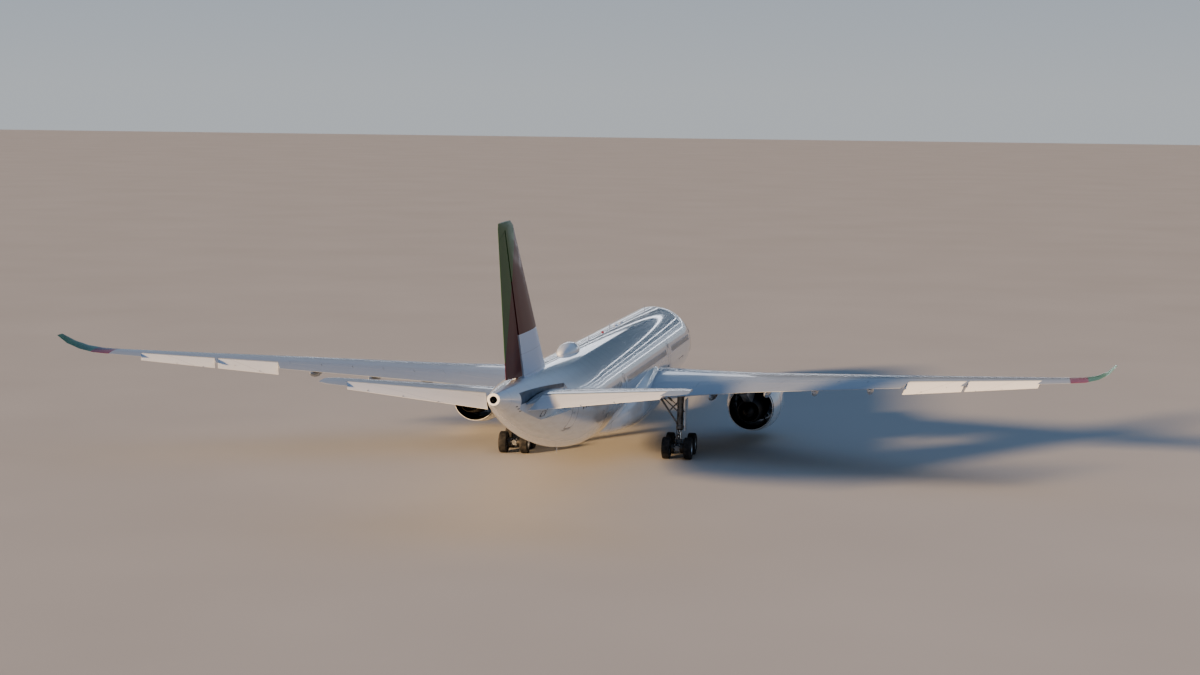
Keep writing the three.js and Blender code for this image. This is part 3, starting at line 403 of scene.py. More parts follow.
def studio_floor():
    """A matt floor, so that the panels leave no gloss on it. Faint clouds keep it from looking empty."""
    material, add, shader, where = new_material("studio_floor_paint")
    cloud = add("TexNoise", {"Vector": where["Object"], "Scale": 0.12})
    tone = add("Mix", {0: cloud, 6: "#BDB8B0", 7: "#C8C4BC"}, data_type="RGBA")
    feed(shader, {"Base Color": tone, "Roughness": 0.95, "Specular IOR Level": 0.1})
    half = FLOOR_SIZE / 2
    corners = [(-half, -half, 0), (half, -half, 0), (half, half, 0), (-half, half, 0)]
    floor = bpy.data.meshes.new("floor")
    floor.from_pydata(corners, [], [(0, 1, 2, 3)])
    coated(linked("floor", floor), material)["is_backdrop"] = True


def facing_in(name, data, azimuth, elevation, distance, colour):
    """A light that looks at the aircraft. Azimuth 180 lies behind the tail, and 270 to port."""
    turn, tilt = math.radians(azimuth), math.radians(elevation)
    away = Vector((-math.sin(turn) * math.cos(tilt), -math.cos(turn) * math.cos(tilt), math.sin(tilt)))
    data.color = linear(colour)[:3]
    light = linked(name, data)
    light.location = away * distance
    light.rotation_mode = "QUATERNION"
    light.rotation_quaternion = (-away).to_track_quat("-Z", "Y")
    light.visible_camera = False
    return light


def softbox(name, width, height, power, **spot):
    data = bpy.data.lights.new(name, "AREA")
    data.shape, data.size, data.size_y = "RECTANGLE", width, height
    data.energy = power
    return facing_in(name, data, **spot)


studio_floor()
low_sun = bpy.data.lights.new("key", "SUN")
low_sun.energy = KEY_POWER
low_sun.angle = math.radians(KEY_SOFTNESS)
facing_in("key", low_sun, **KEY)
softbox("fill", FILL_SIZE, FILL_SIZE, FILL_POWER, **FILL)
for i, (azimuth, elevation, width, height, power) in enumerate(PANELS):
    panel = softbox(f"panel_{i}", width, height, power, azimuth=azimuth, elevation=elevation,
                    distance=PANEL_DISTANCE, colour=PANEL_COLOUR)
    panel.visible_diffuse = False
sky = bpy.data.worlds.new("sky")
bpy.context.scene.world = sky
sky.use_nodes = True
add = partial(node, sky.node_tree)
way = add("SeparateXYZ", {"Vector": add("TexCoord").outputs["Generated"]}).outputs
haze = add("ValToRGB", {"Fac": way["Z"]}, SKY)
band = add("ValToRGB", {"Fac": way["Z"]}, AHEAD)
ahead = add("MapRange", {"Value": way["Y"], "From Min": BAND_EDGES[0], "From Max": BAND_EDGES[1]})
dark = add("Math", {0: ahead, 1: band}, operation="MULTIPLY")
mixed = add("Mix", {0: dark, 6: haze, 7: BAND_COLOUR}, data_type="RGBA")
feed(sky.node_tree.nodes["Background"], {"Color": mixed, "Strength": SKY_STRENGTH})
bpy.context.scene.view_settings.look = "AgX - Medium High Contrast"
print("stage,", 2 + len(PANELS), "lights and a sky")

# %% [markdown]
# The skin of an airliner is aluminium or carbon fibre under primer and a two-part
# polyurethane topcoat. Up close it has a faint orange peel, seams where the panels meet,
# and dust that the airflow draws out in streaks along the belly. From a distance the
# strongest sign of it is gloss: a clear coat over a slightly softer colour.

# %% Painted skins
SEAM = mm(14)
PEEL = {"size": mm(60), "height": 0.03}  # really 4 mm, too fine to show from the camera
SHEET = {"size": mm(1300), "height": 1.5}  # sheet between frames is never flat, so reflections waver
AIRFLOW = (4.0, 0.22, 4.0)  # noise is drawn out along the aircraft


def seams(add, along, pitch):
    """1 on thin lines that lie a pitch apart along one coordinate."""
    near = add("Math", {0: along, 1: pitch * SCALE / 2}, operation="PINGPONG")
    return add("MapRange", {
        "Value": near, "From Min": SEAM / 2, "From Max": SEAM, "To Min": 1.0, "To Max": 0.0})


def topcoat(name, paint, soil, roughness=0.12, coat=1.0, frames=1.6, soiling=0.35):
    """Polyurethane topcoat, sprayed over riveted panels and primer."""
    material, add, shader, where = new_material(name)

    def times(a, b):
        return add("Math", {0: a, 1: b}, operation="MULTIPLY")

    spot = where["Object"]
    facing = add("SeparateXYZ", {"Vector": where["Normal"]}).outputs["Z"]
    below = add("MapRange", {
        "Value": facing, "From Min": 0.25, "From Max": -0.9, "To Min": 0.12, "To Max": 1.0})
    drawn = add("Mapping", {"Vector": spot, "Scale": AIRFLOW})
    streaks = add("TexNoise", {"Vector": drawn, "Scale": 1.6, "Detail": 6.0})
    drift = add("MapRange", {"Value": streaks, "From Min": 0.4, "From Max": 0.75})
    dust = times(times(drift, below), soiling)
    painted = add("Mix", {0: dust, 6: paint, 7: soil}, data_type="RGBA")
    seam = seams(add, add("SeparateXYZ", {"Vector": spot}).outputs["Y"], frames)
    lined = add("Mix", {0: times(seam, 0.35), 6: painted, 7: "#6D6B68"}, data_type="RGBA")
    peel = add("TexNoise", {"Vector": spot, "Scale": 1 / PEEL["size"], "Detail": 2.0})
    sheet = add("TexNoise", {"Vector": drawn, "Scale": 1 / SHEET["size"], "Detail": 1.0})
    skin = add("Math", {0: times(peel, PEEL["height"]), 1: times(sheet, SHEET["height"])}, operation="ADD")
    height = add("Math", {0: skin, 1: seam}, operation="SUBTRACT")
    feed(shader, {
        "Base Color": lined,
        "Normal": add("Bump", {"Height": height, "Strength": 0.25, "Distance": mm(3)}),
        "Roughness": add("MapRange", {
            "Value": dust, "From Max": 0.6, "To Min": roughness, "To Max": roughness + 0.25}),
        "Coat Weight": coat,
        "Coat Roughness": 0.03,
    })
    return material


# Deep gloss that mirrors sky and floor in long wavering streaks.
white_topcoat = topcoat("white_polyurethane_topcoat", "#E6E6E4", "#8B8478", soiling=0.22)
# Duller grey, so that the wings read as a second tone beside the hull.
wing_topcoat = topcoat("grey_wing_topcoat", "#A4A9AE", "#6E6B66", 0.24, 0.6, frames=2.4)
# Nearly as glossy as the hull, but in one smooth sweep with hardly a seam.
cowl_topcoat = topcoat("white_cowl_topcoat", "#E6E5E1", "#8B8478", 0.14, 0.9, frames=9.0)
# A satin grey that sets small panels off from the white.
pylon_topcoat = topcoat("grey_pylon_topcoat", "#9A9FA4", "#77736C", 0.3, 0.4, frames=1.1)
# Flat and greenish: the unfinished look of the inside of a bay.
primer = topcoat("zinc_chromate_primer", "#B9C3A9", "#6F6C60", 0.6, 0.0, frames=0.8)
print("skins:", white_topcoat.name, wing_topcoat.name, cowl_topcoat.name, pylon_topcoat.name)

# %% [markdown]
# The fin carries the livery: green over the tip and down the trailing edge, and dark red
# below it, down to a straight edge. The paint is masked along straight lines, so the material
# compares a place on the fin with a few lines.

# %% Fin livery
GREEN, GREEN_WORN, RED, ICE = "#234A20", "#33602C", "#4C0A12", "#C6D3E4"
GREEN_EDGE = ((60.9, 9.5), (59.78, 15.5))  # station and height of two points of the edge
RED_FOOT = 10.7  # height where the fixed fin's red ends


def aft_of(add, axes, line):
    """1 where a place lies aft of a line through two (station, height) points."""
    (s0, z0), (s1, z1) = line
    lean = (s1 - s0) / (z1 - z0)
    shifted = add("Math", {0: axes["Z"], 1: -lean}, operation="MULTIPLY")
    across = add("Math", {0: axes["Y"], 1: shifted}, operation="ADD")
    return add("Math", {0: across, 1: (s0 - LENGTH / 2 - lean * z0) * SCALE}, operation="GREATER_THAN")


def livery_topcoat(name, foot_colour):
    """Dark paint under a thin clear coat: more coat would show the sky instead of the colour."""
    material, add, shader, where = new_material(name)
    axes = add("SeparateXYZ", {"Vector": where["Object"]}).outputs
    above = add("Math", {0: axes["Z"], 1: RED_FOOT * SCALE}, operation="GREATER_THAN")
    lower = add("Mix", {0: above, 6: foot_colour, 7: RED}, data_type="RGBA")
    cloud = add("TexNoise", {"Vector": where["Object"], "Scale": 0.8, "Detail": 4.0})
    leaf = add("Mix", {0: cloud, 6: GREEN, 7: GREEN_WORN}, data_type="RGBA")
    whole = add("Mix", {0: aft_of(add, axes, GREEN_EDGE), 6: lower, 7: leaf}, data_type="RGBA")
    seam = seams(add, axes["Z"], 1.2)
    faint = add("Math", {0: seam, 1: 0.3}, operation="MULTIPLY")
    lined = add("Mix", {0: faint, 6: whole, 7: "#2B2A29"}, data_type="RGBA")
    bump = add("Bump", {"Height": seam, "Strength": 0.2, "Distance": mm(3)}, invert=True)
    feed(shader, {"Base Color": lined, "Normal": bump, "Roughness": 0.4, "Specular IOR Level": 0.3,
                  "Coat Weight": 0.2, "Coat Roughness": 0.1})
    return material


# Both are deep matt colours. The fixed fin has a pale foot, and the rudder is red to its foot.
fin_livery = livery_topcoat("fin_livery_topcoat", ICE)
rudder_livery = livery_topcoat("rudder_livery_topcoat", RED)
print("livery edges run from", GREEN_EDGE[0], "to", GREEN_EDGE[1])

# %% [markdown]
# Bare metal on an airliner is where paint would not last: leading edges are polished
# aluminium sheet, the hot end of the engine is nickel alloy with heat tints, and the sliding
# part of a gear leg is hard chrome. Each is a metal shader with its own roughness and grain.

# %% Bare metals


def bare_metal(name, colour, tint, roughness, spread, grain_mm):
    """Rolled, cast or turned metal. The grain's size along X, Y and Z is in full-size mm."""
    material, add, shader, where = new_material(name)
    spot = where["Object"]
    stretch = add("Mapping", {"Vector": spot, "Scale": tuple(1 / mm(size) for size in grain_mm)})
    grain = add("TexNoise", {"Vector": stretch, "Scale": 1.0, "Detail": 5.0})
    cloud = add("TexNoise", {"Vector": spot, "Scale": 1 / mm(700), "Detail": 4.0})
    tone = add("MapRange", {"Value": cloud, "From Min": 0.4, "From Max": 0.8, "To Max": 0.6})
    feed(shader, {
        "Base Color": add("Mix", {0: tone, 6: colour, 7: tint}, data_type="RGBA"),
        "Roughness": add("MapRange", {
            "Value": grain, "To Min": max(roughness - spread, 0.04), "To Max": roughness + spread}),
        "Normal": add("Bump", {"Height": grain, "Strength": 0.08, "Distance": mm(2)}),
        "Metallic": 1.0,
    })
    return material


# A bright line along every leading edge and intake lip.
polished_aluminium = bare_metal(
    "polished_aluminium_sheet", "#D9DBDD", "#B9BBBD", 0.16, 0.06, (300, 60, 60))
# Dark brown metal with a dull shine, so that the nozzles read as hot and used.
nozzle_alloy = bare_metal("heat_tinted_nickel_alloy", "#3E3833", "#211C18", 0.5, 0.1, (60, 400, 60))
# Blades catch the light one by one in the shaded duct.
blade_titanium = bare_metal("machined_titanium", "#A3A6AA", "#7D8084", 0.32, 0.08, (30, 30, 200))
# The sharpest glints of the gear, on its sliding pistons.
hard_chrome = bare_metal("hard_chrome_plate", "#DADCDD", "#C5C7C8", 0.08, 0.03, (20, 20, 300))
# Soft silver with an even grain: wheels and window surrounds.
forged_aluminium = bare_metal("forged_aluminium_hub", "#BFC0C0", "#8D8C88", 0.38, 0.1, (50, 50, 50))
# Nearly black metal that gives depth behind the wheels.
dark_steel = bare_metal("brake_disc_steel", "#56534F", "#3A3734", 0.5, 0.1, (40, 40, 40))
print("metals:", polished_aluminium.name, nozzle_alloy.name, hard_chrome.name)

# %% [markdown]
# The rest of the finishes: enamel on the gear legs, rubber that is grey with dust on the
# shoulders of the tyres, near-black seals, which also stand for painted shade in the vent slots,
# soot and painted shade inside the exhaust, the ducts and the air inlets, and glass. Cabin
# windows are stretched acrylic, dark because the cabin behind them is unlit.

# %% Rubber, enamel, glass and soot


def moulded(name, colour, worn, roughness, patch_mm=180, bump_mm=1.5, coat=0.0):
    """A non-metal with wear in soft patches: moulded rubber, sprayed enamel or soot."""
    material, add, shader, where = new_material(name)
    cloud = add("TexNoise", {"Vector": where["Object"], "Scale": 1 / mm(patch_mm), "Detail": 6.0})
    tone = add("MapRange", {"Value": cloud, "From Min": 0.42, "From Max": 0.72})
    fine = add("TexNoise", {"Vector": where["Object"], "Scale": 1 / mm(12), "Detail": 3.0})
    feed(shader, {
        "Base Color": add("Mix", {0: tone, 6: colour, 7: worn}, data_type="RGBA"),
        "Normal": add("Bump", {"Height": fine, "Strength": 0.3, "Distance": mm(bump_mm)}),
        "Roughness": add("MapRange", {
            "Value": cloud, "To Min": roughness - 0.08, "To Max": min(roughness + 0.08, 1.0)}),
        "Coat Weight": coat,
    })
    return material


def glass(name, colour, roughness=0.04):
    """Dark glazing. What is behind it is unlit, so only its colour and reflections show."""
    material, add, shader, where = new_material(name)
    cloud = add("TexNoise", {"Vector": where["Object"], "Scale": 1 / mm(900)})
    tone = add("Mix", {0: cloud, 6: colour, 7: "#2A3138"}, data_type="RGBA")
    feed(shader, {"Base Color": tone, "Roughness": roughness, "IOR": 1.5, "Coat Weight": 1.0})
    return material


# Dull black, greyer where dust sits: it keeps the wheels heavy on the ground.
tyre_rubber = moulded("dusty_tyre_rubber", "#232222", "#4A4642", 0.82, patch_mm=260)
# A soft sheen with oily darker patches on forgings.
gear_enamel = moulded("grey_gear_enamel", "#85888B", "#5F5E5B", 0.38, patch_mm=300, bump_mm=0.4, coat=0.3)
# The dark lines that outline doors and hatches, and painted shade in the tail cone's vent slots.
seal_rubber_and_slot_shade = moulded("black_seal_rubber_and_slot_shade", "#1B1B1C", "#2E2D2C", 0.6)
# Near-black: soot in the exhaust pipe and hot nozzles, and painted shade deep in pipes, ducts and air inlets.
soot_and_shade = moulded("soot_and_painted_shade", "#0B0A0A", "#191716", 0.9)
# Pale and matt, so that the intake isn't a black hole.
duct_liner = moulded("perforated_duct_liner", "#A0A2A3", "#868889", 0.5, patch_mm=90)
# Light walls that show how deep the holds are.
hold_liner = moulded("glass_fibre_hold_liner", "#C9CCC4", "#A9AAA1", 0.5)
# Thin dark lines down the legs.
hose_rubber = moulded("braided_hose", "#2A2A2C", "#3C3B3A", 0.5, patch_mm=40)
# Slate grey beside the tailplane's root, where the white paint would wear off.
rub_plate = moulded("slate_rub_plate_enamel", "#56616E", "#3E464F", 0.32, patch_mm=500, bump_mm=0.3, coat=0.3)
# Black mirrors round the nose.
cockpit_glass = glass("laminated_cockpit_glass", "#12161A")
# A row of dark dots with softer reflections than the cockpit's.
cabin_acrylic = glass("stretched_acrylic_window", "#1B2026", 0.08)
# Unlit lamps: small spots of colour at the tips, and clear ones elsewhere.
red_lens = glass("red_lamp_lens", "#B3161B", 0.1)
green_lens = glass("green_lamp_lens", "#149A4A", 0.1)
clear_lens = glass("clear_lamp_lens", "#C9CDD0", 0.08)
print(len(bpy.data.materials), "materials so far")

# %% [markdown]
# The fuselage of an airliner is a barrel of frames and stringers under stretched sheet, so it
# has no facets at all. The frame's solid has 32 flat sides. Here it is lofted again from
# the same sections with four times as many, and the nose is rounded from closely spaced
# rings, because its curvature changes fastest there.

# %% The hull as a smooth loft
HULL_SIDES = 128
BARREL = 2.82
HULL = (
    # station, half width, top, bottom; the last two from the fuselage axis
    (0, 0.05, -0.65, -0.75), (0.12, 0.42, -0.32, -1.06), (0.45, 0.85, -0.02, -1.42), (1, 1.24, 0.24, -1.76),
    (1.7, 1.6, 0.5, -2.02), (2.1, 1.76, 0.74, -2.15), (2.7, 1.97, 1.24, -2.3), (3.5, 2.21, 1.72, -2.46),
    (4.6, 2.47, 2.16, -2.62), (6, 2.69, 2.55, -2.74), (7.5, 2.8, 2.76, -2.81), (9, 2.82, 2.82, -2.82),
    (41.5, 2.82, 2.82, -2.82), (44.5, 2.8, 2.82, -2.72), (47.5, 2.69, 2.82, -2.38), (50.5, 2.46, 2.82, -1.8),
    (53.5, 2.13, 2.82, -1.08), (56.5, 1.7, 2.82, -0.24), (59, 1.28, 2.8, 0.52), (60.6, 0.98, 2.77, 1.02),
    (62.2, 0.64, 2.72, 1.56), (63.66, 0.33, 2.65, 2.02),
)
RADOME_END, CONE_START = 1.7, 60.6
JOINT_GAP = 0.001


def hull_section(stations):
    """Half width, top and bottom at each station. The square root rounds the nose."""
    rows = np.array(HULL)
    return [smooth_column(np.sqrt(rows[:, 0]), rows[:, c], np.sqrt(stations)) for c in (1, 2, 3)]


def section_at(station):
    return [float(column[0]) for column in hull_section(np.array([station]))]


def section_rings(stations, columns, sides, grow=0.0, power=1.0):
    """An ellipse at each station. A power under 1 squares its shoulders."""

    def squared(c):
        return math.copysign(abs(c) ** power, c)

    rings = []
    for station, wide, top, bottom in zip(stations, *columns):
        middle, tall = axis_z(station) + (top + bottom) / 2, (top - bottom) / 2
        wide, tall = wide + grow, tall + grow
        rings.append([
            place(wide * squared(math.cos(a)), station, middle + tall * squared(math.sin(a)))
            for a in angles(sides, 0.5)])
    return rings


def hull_piece(name, first, last, count, grow=0.0):
    """A closed length of hull with its rings closer together towards the nose."""
    steps = np.linspace(math.sqrt(first), math.sqrt(last), count) ** 2
    steps[0], steps[-1] = first, last
    return loft(name, section_rings(steps, hull_section(steps), HULL_SIDES, grow))


def hull_normal(spot):
    """The smooth skin's own normal near a point, from how the sections change along it."""
    step = 0.02
    station = min(max(spot.y / SCALE + LENGTH / 2, 0.002), 63.6)
    ends = []
    for at in (station, station + step):
        wide, top, bottom = section_at(at)
        ends.append((wide, (top - bottom) / 2, axis_z(at) + (top + bottom) / 2))
    (wide, tall, middle), (wide2, tall2, middle2) = ends
    c, s = spot.x / SCALE / wide, (spot.z / SCALE - middle) / tall
    reach = math.hypot(c, s) or 1.0
    c, s = c / reach, s / reach
    along = Vector((c * (wide2 - wide), step, middle2 - middle + s * (tall2 - tall)))
    return Vector((-s * wide, 0, c * tall)).cross(along).normalized() * -1


def hull_shaded(made, within=14):
    """Gives the outer skin the smooth hull's normals, so that cuts leave no shading marks."""
    mesh = made.data
    mesh.shade_smooth()
    mesh.set_sharp_from_angle(angle=math.radians(28))
    limit = math.cos(math.radians(within))
    cache, normals = {}, [(0.0, 0.0, 0.0)] * len(mesh.loops)
    for face in mesh.polygons:
        for i in face.loop_indices:
            v = mesh.loops[i].vertex_index
            if v not in cache:
                cache[v] = hull_normal(mesh.vertices[v].co)
            facing = face.normal.dot(cache[v])
            if abs(facing) > limit:
                normals[i] = tuple(cache[v] if facing > 0 else -cache[v])
    mesh.normals_split_custom_set(normals)


port_side = hull_normal(place(BARREL, 25, axis_z(25)))
print("hull normal on the port side", [round(c, 3) for c in port_side])

# %% [markdown]
# Openings are cut from the closed loft with boolean operations, as a fitter would cut sheet:
# the cockpit window band, the nose gear bay, the two cargo holds with their rebates for the
# doors, and the flats beside the tailplane. The normals come from the uncut shape, so
# the light runs on smoothly past each edge.

# %% Openings in the hull
FAR = 3.4
WINDOW_BAND = ((1.75, 0.5), (4.0, 0.5), (3.75, 1.0), (3.2, 1.22), (2.0, 1.22))  # station, height from axis
WINDOW_DEPTH = 0.06
BAND_ROOM = (1.0, 9.0)  # stations that every cut for the cockpit windows stays between
NOSE_BAY = {"first": 6.05, "last": 7.55, "half": 0.5, "roof": 2.55}
CARGO_DOORS = {"front": (10.6, 13.3), "rear": (38.0, 40.7)}
DOOR_TOP, DOOR_SILL, DOOR_DEPTH, DOOR_CLEAR = -0.6, -2.2, 0.12, 0.014
HOLD_LIP, HOLD_ACROSS = 0.15, 1.0
TAIL_FLATS = ((1.6, 54.5), (0.95, 60.0))  # how far out the flats beside the tailplane lie, at two stations
TAIL_GAP = 0.06
FLAT_FIRST, FLAT_LAST = 53.3, 61.0
FAR_OUT = 20  # well beyond the hull's side
FLAT_LOW, ROOT_HEIGHT, FLAT_HIGH = 6.05, 7.3, 8.2  # the tailplane's root sweeps over the upper part


def prism(name, outline, x0, x1):
    """A plate across the aircraft from an outline of (station, height) points."""
    return loft(name, [[place(x, station, z) for station, z in outline] for x in (x0, x1)])


def room(name, low, high):
    """A box between two full-size places."""
    return block(name, place(*low), place(*high))


def shell_of(tool, first, last, depth, count=40):
    """Keeps only what lies outside the hull sunk by a depth."""
    return boolean(tool, hull_piece("inner", first, last, count, -depth))


def band_prism(grow=0.0, reach=FAR):
    """The cockpit windows' outline, grown by a width, as a plate across the nose."""
    points = [Vector((station, axis_z(station) + z)) for station, z in WINDOW_BAND]
    middle = sum(points, Vector((0, 0))) / len(points)
    return prism("band", [tuple(p + (p - middle).normalized() * grow) for p in points], -reach, reach)


def door_corners(station, grow):
    """The cargo door's outline across the hull. Its lower edge is square to the hinge's radius."""
    hinge, sill = (Vector((-math.sqrt(BARREL**2 - z**2), z)) for z in (DOOR_TOP, DOOR_SILL))
    down = (sill - hinge).normalized()
    edge = Vector((-down.y, down.x)) * 0.45
    low = sill + down * grow
    top = DOOR_TOP + 2 * grow
    corners = [(-3.3, top), (-2.2, top), tuple(low + edge), tuple(low - edge)]
    return [place(x, station, axis_z(station) + z) for x, z in corners]


def door_prism(name, grow):
    first, last = CARGO_DOORS[name]
    return loft("door_room", [door_corners(first - grow, grow), door_corners(last + grow, grow)])


def tail_flat(station):
    """How far out the flat beside the tailplane's root lies."""
    (half, first), (far_half, last) = TAIL_FLATS
    return half + (far_half - half) * (station - first) / (last - first) - TAIL_GAP


def cut_flats(made):
    """Cuts the flats beside the tailplane's root, each in two strips, below and above its middle."""
    first, last = FLAT_FIRST, FLAT_LAST
    ring = [(tail_flat(first), first), (FAR_OUT, first), (FAR_OUT, last), (tail_flat(last), last)]
    for side in SIDES.values():
        for low, high in ((FLAT_LOW, ROOT_HEIGHT), (ROOT_HEIGHT, FLAT_HIGH)):
            boolean(made, loft("tail_room", [[place(side * x, s, z) for x, s in ring] for z in (low, high)]))


fuselage = hull_piece("fuselage_skin", RADOME_END + JOINT_GAP / 2, CONE_START - JOINT_GAP / 2, 150)
boolean(fuselage, shell_of(band_prism(0.004), *BAND_ROOM, WINDOW_DEPTH))
bay = NOSE_BAY
boolean(fuselage, room("bay", (-bay["half"], bay["first"], 0), (bay["half"], bay["last"], bay["roof"])))
for name, (first, last) in CARGO_DOORS.items():
    rebate = door_prism(name, 1.5 * DOOR_CLEAR)
    boolean(fuselage, shell_of(rebate, first - 1, last + 1, DOOR_DEPTH + DOOR_CLEAR, 8))
    low = (-3, first + HOLD_LIP, axis_z(last) + DOOR_SILL + HOLD_LIP)
    boolean(fuselage, room("hold", low, (HOLD_ACROSS, last - HOLD_LIP, axis_z(first) + DOOR_TOP - HOLD_LIP)))
cut_flats(fuselage)
print("fuselage has", len(fuselage.data.vertices), "points")

# %% [markdown]
# The nose cone is a radome: glass fibre, painted, and held on by a ring of latches behind a
# fine gap. The last cone carries the exhaust of the auxiliary power unit, a turbine in
# the tail, in a bare steel ring that is sooty inside. A near-black disc closes the pipe: soot,
# and painted shade for the pipe's depth.

# %% Radome, tail cone and exhaust ring
EXHAUST = (
    # radius and distance along the pipe of the ring's section
    (0.199, 0.0), (0.199, 0.48), (0.206, 0.492), (0.2, 0.5), (0.182, 0.497), (0.178, 0.48), (0.178, 0.0),
)
EXHAUST_SOOT_AND_SHADE = ((0.0, 0.0), (0.195, 0.0), (0.195, 0.02), (0.0, 0.02))


def apu_axis(station):
    return place(0, station, axis_z(station) + 2.31)


radome = hull_piece("radome_skin", 0, RADOME_END - JOINT_GAP / 2, 36)
tail_cone = hull_piece("tail_cone_skin", CONE_START + JOINT_GAP / 2, LENGTH, 30)
pipe_first, pipe_last = 62.9, 64.0
heading = apu_axis(pipe_last) - apu_axis(pipe_first)
pipe = lathe("pipe", ((0.2, 0.0), (0.2, pipe_last - pipe_first)), apu_axis(pipe_first), heading, 48)
boolean(tail_cone, pipe)
cut_flats(tail_cone)
for made in (fuselage, radome, tail_cone):
    hull_shaded(made)
heading = apu_axis(64) - apu_axis(63)
exhaust_ring = lathe("exhaust_ring", EXHAUST, apu_axis(63.14), heading, 48, closed=True)
# The pipe's floor is near-black: soot, and painted shade for the depth of the pipe.
exhaust_bottom = lathe("soot_and_painted_shade", EXHAUST_SOOT_AND_SHADE, apu_axis(62.95), heading, 32)
fitted(coated(exhaust_ring, polished_aluminium), "airframe")
fitted(coated(exhaust_bottom, soot_and_shade), "airframe")
print("radome and tail cone:", len(radome.data.vertices), len(tail_cone.data.vertices), "points")

# %% [markdown]
# Inside the openings the aircraft isn't white: the holds are lined with glass fibre sheet and
# the gear bay is left in green primer. The cut faces get these by where they lie.

# %% Hull materials


def cut_into(low, high):
    """A test for faces in a box of full-size places that face away from the skin."""
    low, high = place(*low), place(*high)
    return lambda face: (
        all(low[i] <= face.center[i] <= high[i] for i in range(3))
        and face.normal.dot(hull_normal(face.center)) < 0.9)


def on_tail_flat(face):
    """Whether a face lies on the flat that the tailplane slides along, and above its root."""
    at = face.center / SCALE
    station = at.y + LENGTH / 2
    near = abs(abs(at.x) - tail_flat(station)) < 0.004
    return FLAT_FIRST < station < FLAT_LAST and ROOT_HEIGHT < at.z < FLAT_HIGH + 0.01 and near


for made in (fuselage, radome, tail_cone):
    coated(made, white_topcoat)
liners = 0
for first, last in CARGO_DOORS.values():
    inside = cut_into((-2.7, first + 0.1, 0), (1.2, last - 0.1, axis_z(last) + DOOR_TOP))
    liners += painted_where(fuselage, hold_liner, inside)
inside = cut_into((-0.51, bay["first"] - 0.01, 0), (0.51, bay["last"] + 0.01, 2.6))
liners += painted_where(fuselage, primer, inside)
for made in (fuselage, tail_cone):
    liners += painted_where(made, rub_plate, on_tail_flat)
for made, replaced in ((fuselage, "fuselage"), (radome, "radome"), (tail_cone, "tail_cone")):
    fixed_to(made, "airframe", [replaced])
print(liners, "faces lie inside openings")

# %% [markdown]
# Each cargo door is a slice of the same barrel, hinged at its top edge and pushed open by
# struts. Its skin must follow the hull exactly, so it is cut from a hull loft with the same
# prism that made its opening. The hinge's knuckles turn with the door and its lugs stay.

# %% Cargo doors and their hinges
LUG = {"half": 0.05, "radius": 0.045, "pin": 0.022, "relief": 0.13}
LUG_SHARES = (0.15, 0.85)
LUG_ARM = ((-0.045, -0.05, 0), (0.07, 0.05, 0.1))  # from the hinge line, two corners
HINGE_INSET = 0.03


def hinge_spots(name):
    """The lugs' places along a cargo door's hinge line, and its direction, from the frame's joint."""
    joint = joints[f"cargo_door_{name}_hinge"]
    point, along = Vector(joint["pos_m"]), Vector(joint["axis"]).normalized()
    if along.y < 0:
        along = -along
    first, last = CARGO_DOORS[name]
    reach = ((last - HINGE_INSET) - (first + HINGE_INSET)) * SCALE / along.y
    start = point + along * ((place(0, first + HINGE_INSET, 0).y - point.y) / along.y)
    return [start + along * reach * share for share in LUG_SHARES], along


def hinge_rod(name, spot, along, half, radius):
    """A rod on the hinge line with its middle at a spot."""
    reach = along * half * SCALE
    return tube(name, (spot - reach, spot + reach), radius)


for name, (first, last) in CARGO_DOORS.items():
    door = boolean(door_prism(name, 0), hull_piece("barrel", first - 1, last + 1, 8), "INTERSECT")
    door = shell_of(door, first - 1, last + 1, DOOR_DEPTH, 8)
    spots, along = hinge_spots(name)
    pins, lugs = [], []
    for spot in spots:
        boolean(door, hinge_rod("relief", spot, along, LUG["half"] + DOOR_CLEAR, LUG["relief"]))
        pins.append(hinge_rod("pin", spot, along, LUG["half"] + 4 * DOOR_CLEAR, LUG["pin"]))
        lugs.append(hinge_rod("lug", spot, along, LUG["half"], LUG["radius"]))
        lugs.append(block("arm", *(spot + Vector(corner) * SCALE for corner in LUG_ARM)))
    coated(door, white_topcoat)
    hull_shaded(door)
    painted_where(door, hold_liner, lambda face: face.normal.dot(hull_normal(face.center)) < -0.5)
    for made in pins + lugs:
        coated(made, gear_enamel)
    body = f"cargo_door_{name}"
    fixed_to(door, body, [body])
    door.name = f"{body}_skin"
    fitted(joined(f"{body}_pins", pins), body)
    fitted(joined(f"{body}_lugs", lugs), "airframe")
    print(door.name, len(door.data.polygons), "faces, hinge along", [round(c, 3) for c in along])

# %% [markdown]
# The belly fairing is a light shell that smooths the air round the wing's roots. It is a loft
# whose sections are squarer than an ellipse, cut where it meets the barrel.

# %% Belly fairing
FAIRING_SQUARE = 0.66  # under 1 squares the section's shoulders
FAIRING = (
    # station, half width, top, bottom; the last two from the fuselage axis
    (19.4, 1.5, -1.9, -2.78), (20.4, 2.4, -0.9, -2.96), (22.0, 2.95, -0.1, -3.08), (24.0, 3.2, 0.5, -3.15),
    (26.5, 3.34, 0.7, -3.19), (30.0, 3.36, 0.55, -3.2), (33.4, 3.26, 0.1, -3.17), (35.6, 2.97, -0.45, -3.08),
    (37.4, 2.45, -1.05, -2.95), (38.8, 1.4, -1.9, -2.78),
)
rows = np.array(FAIRING)
stations = np.linspace(rows[0, 0], rows[-1, 0], 90)
columns = [smooth_column(rows[:, 0], rows[:, c], stations) for c in (1, 2, 3)]
belly = loft("belly_fairing_skin", section_rings(stations, columns, 120, power=FAIRING_SQUARE))
boolean(belly, hull_piece("barrel", 9, 41.5, 60, 0.002))
coated(belly, white_topcoat)
fitted(belly, "airframe", ["belly_fairing"], math.radians(40))
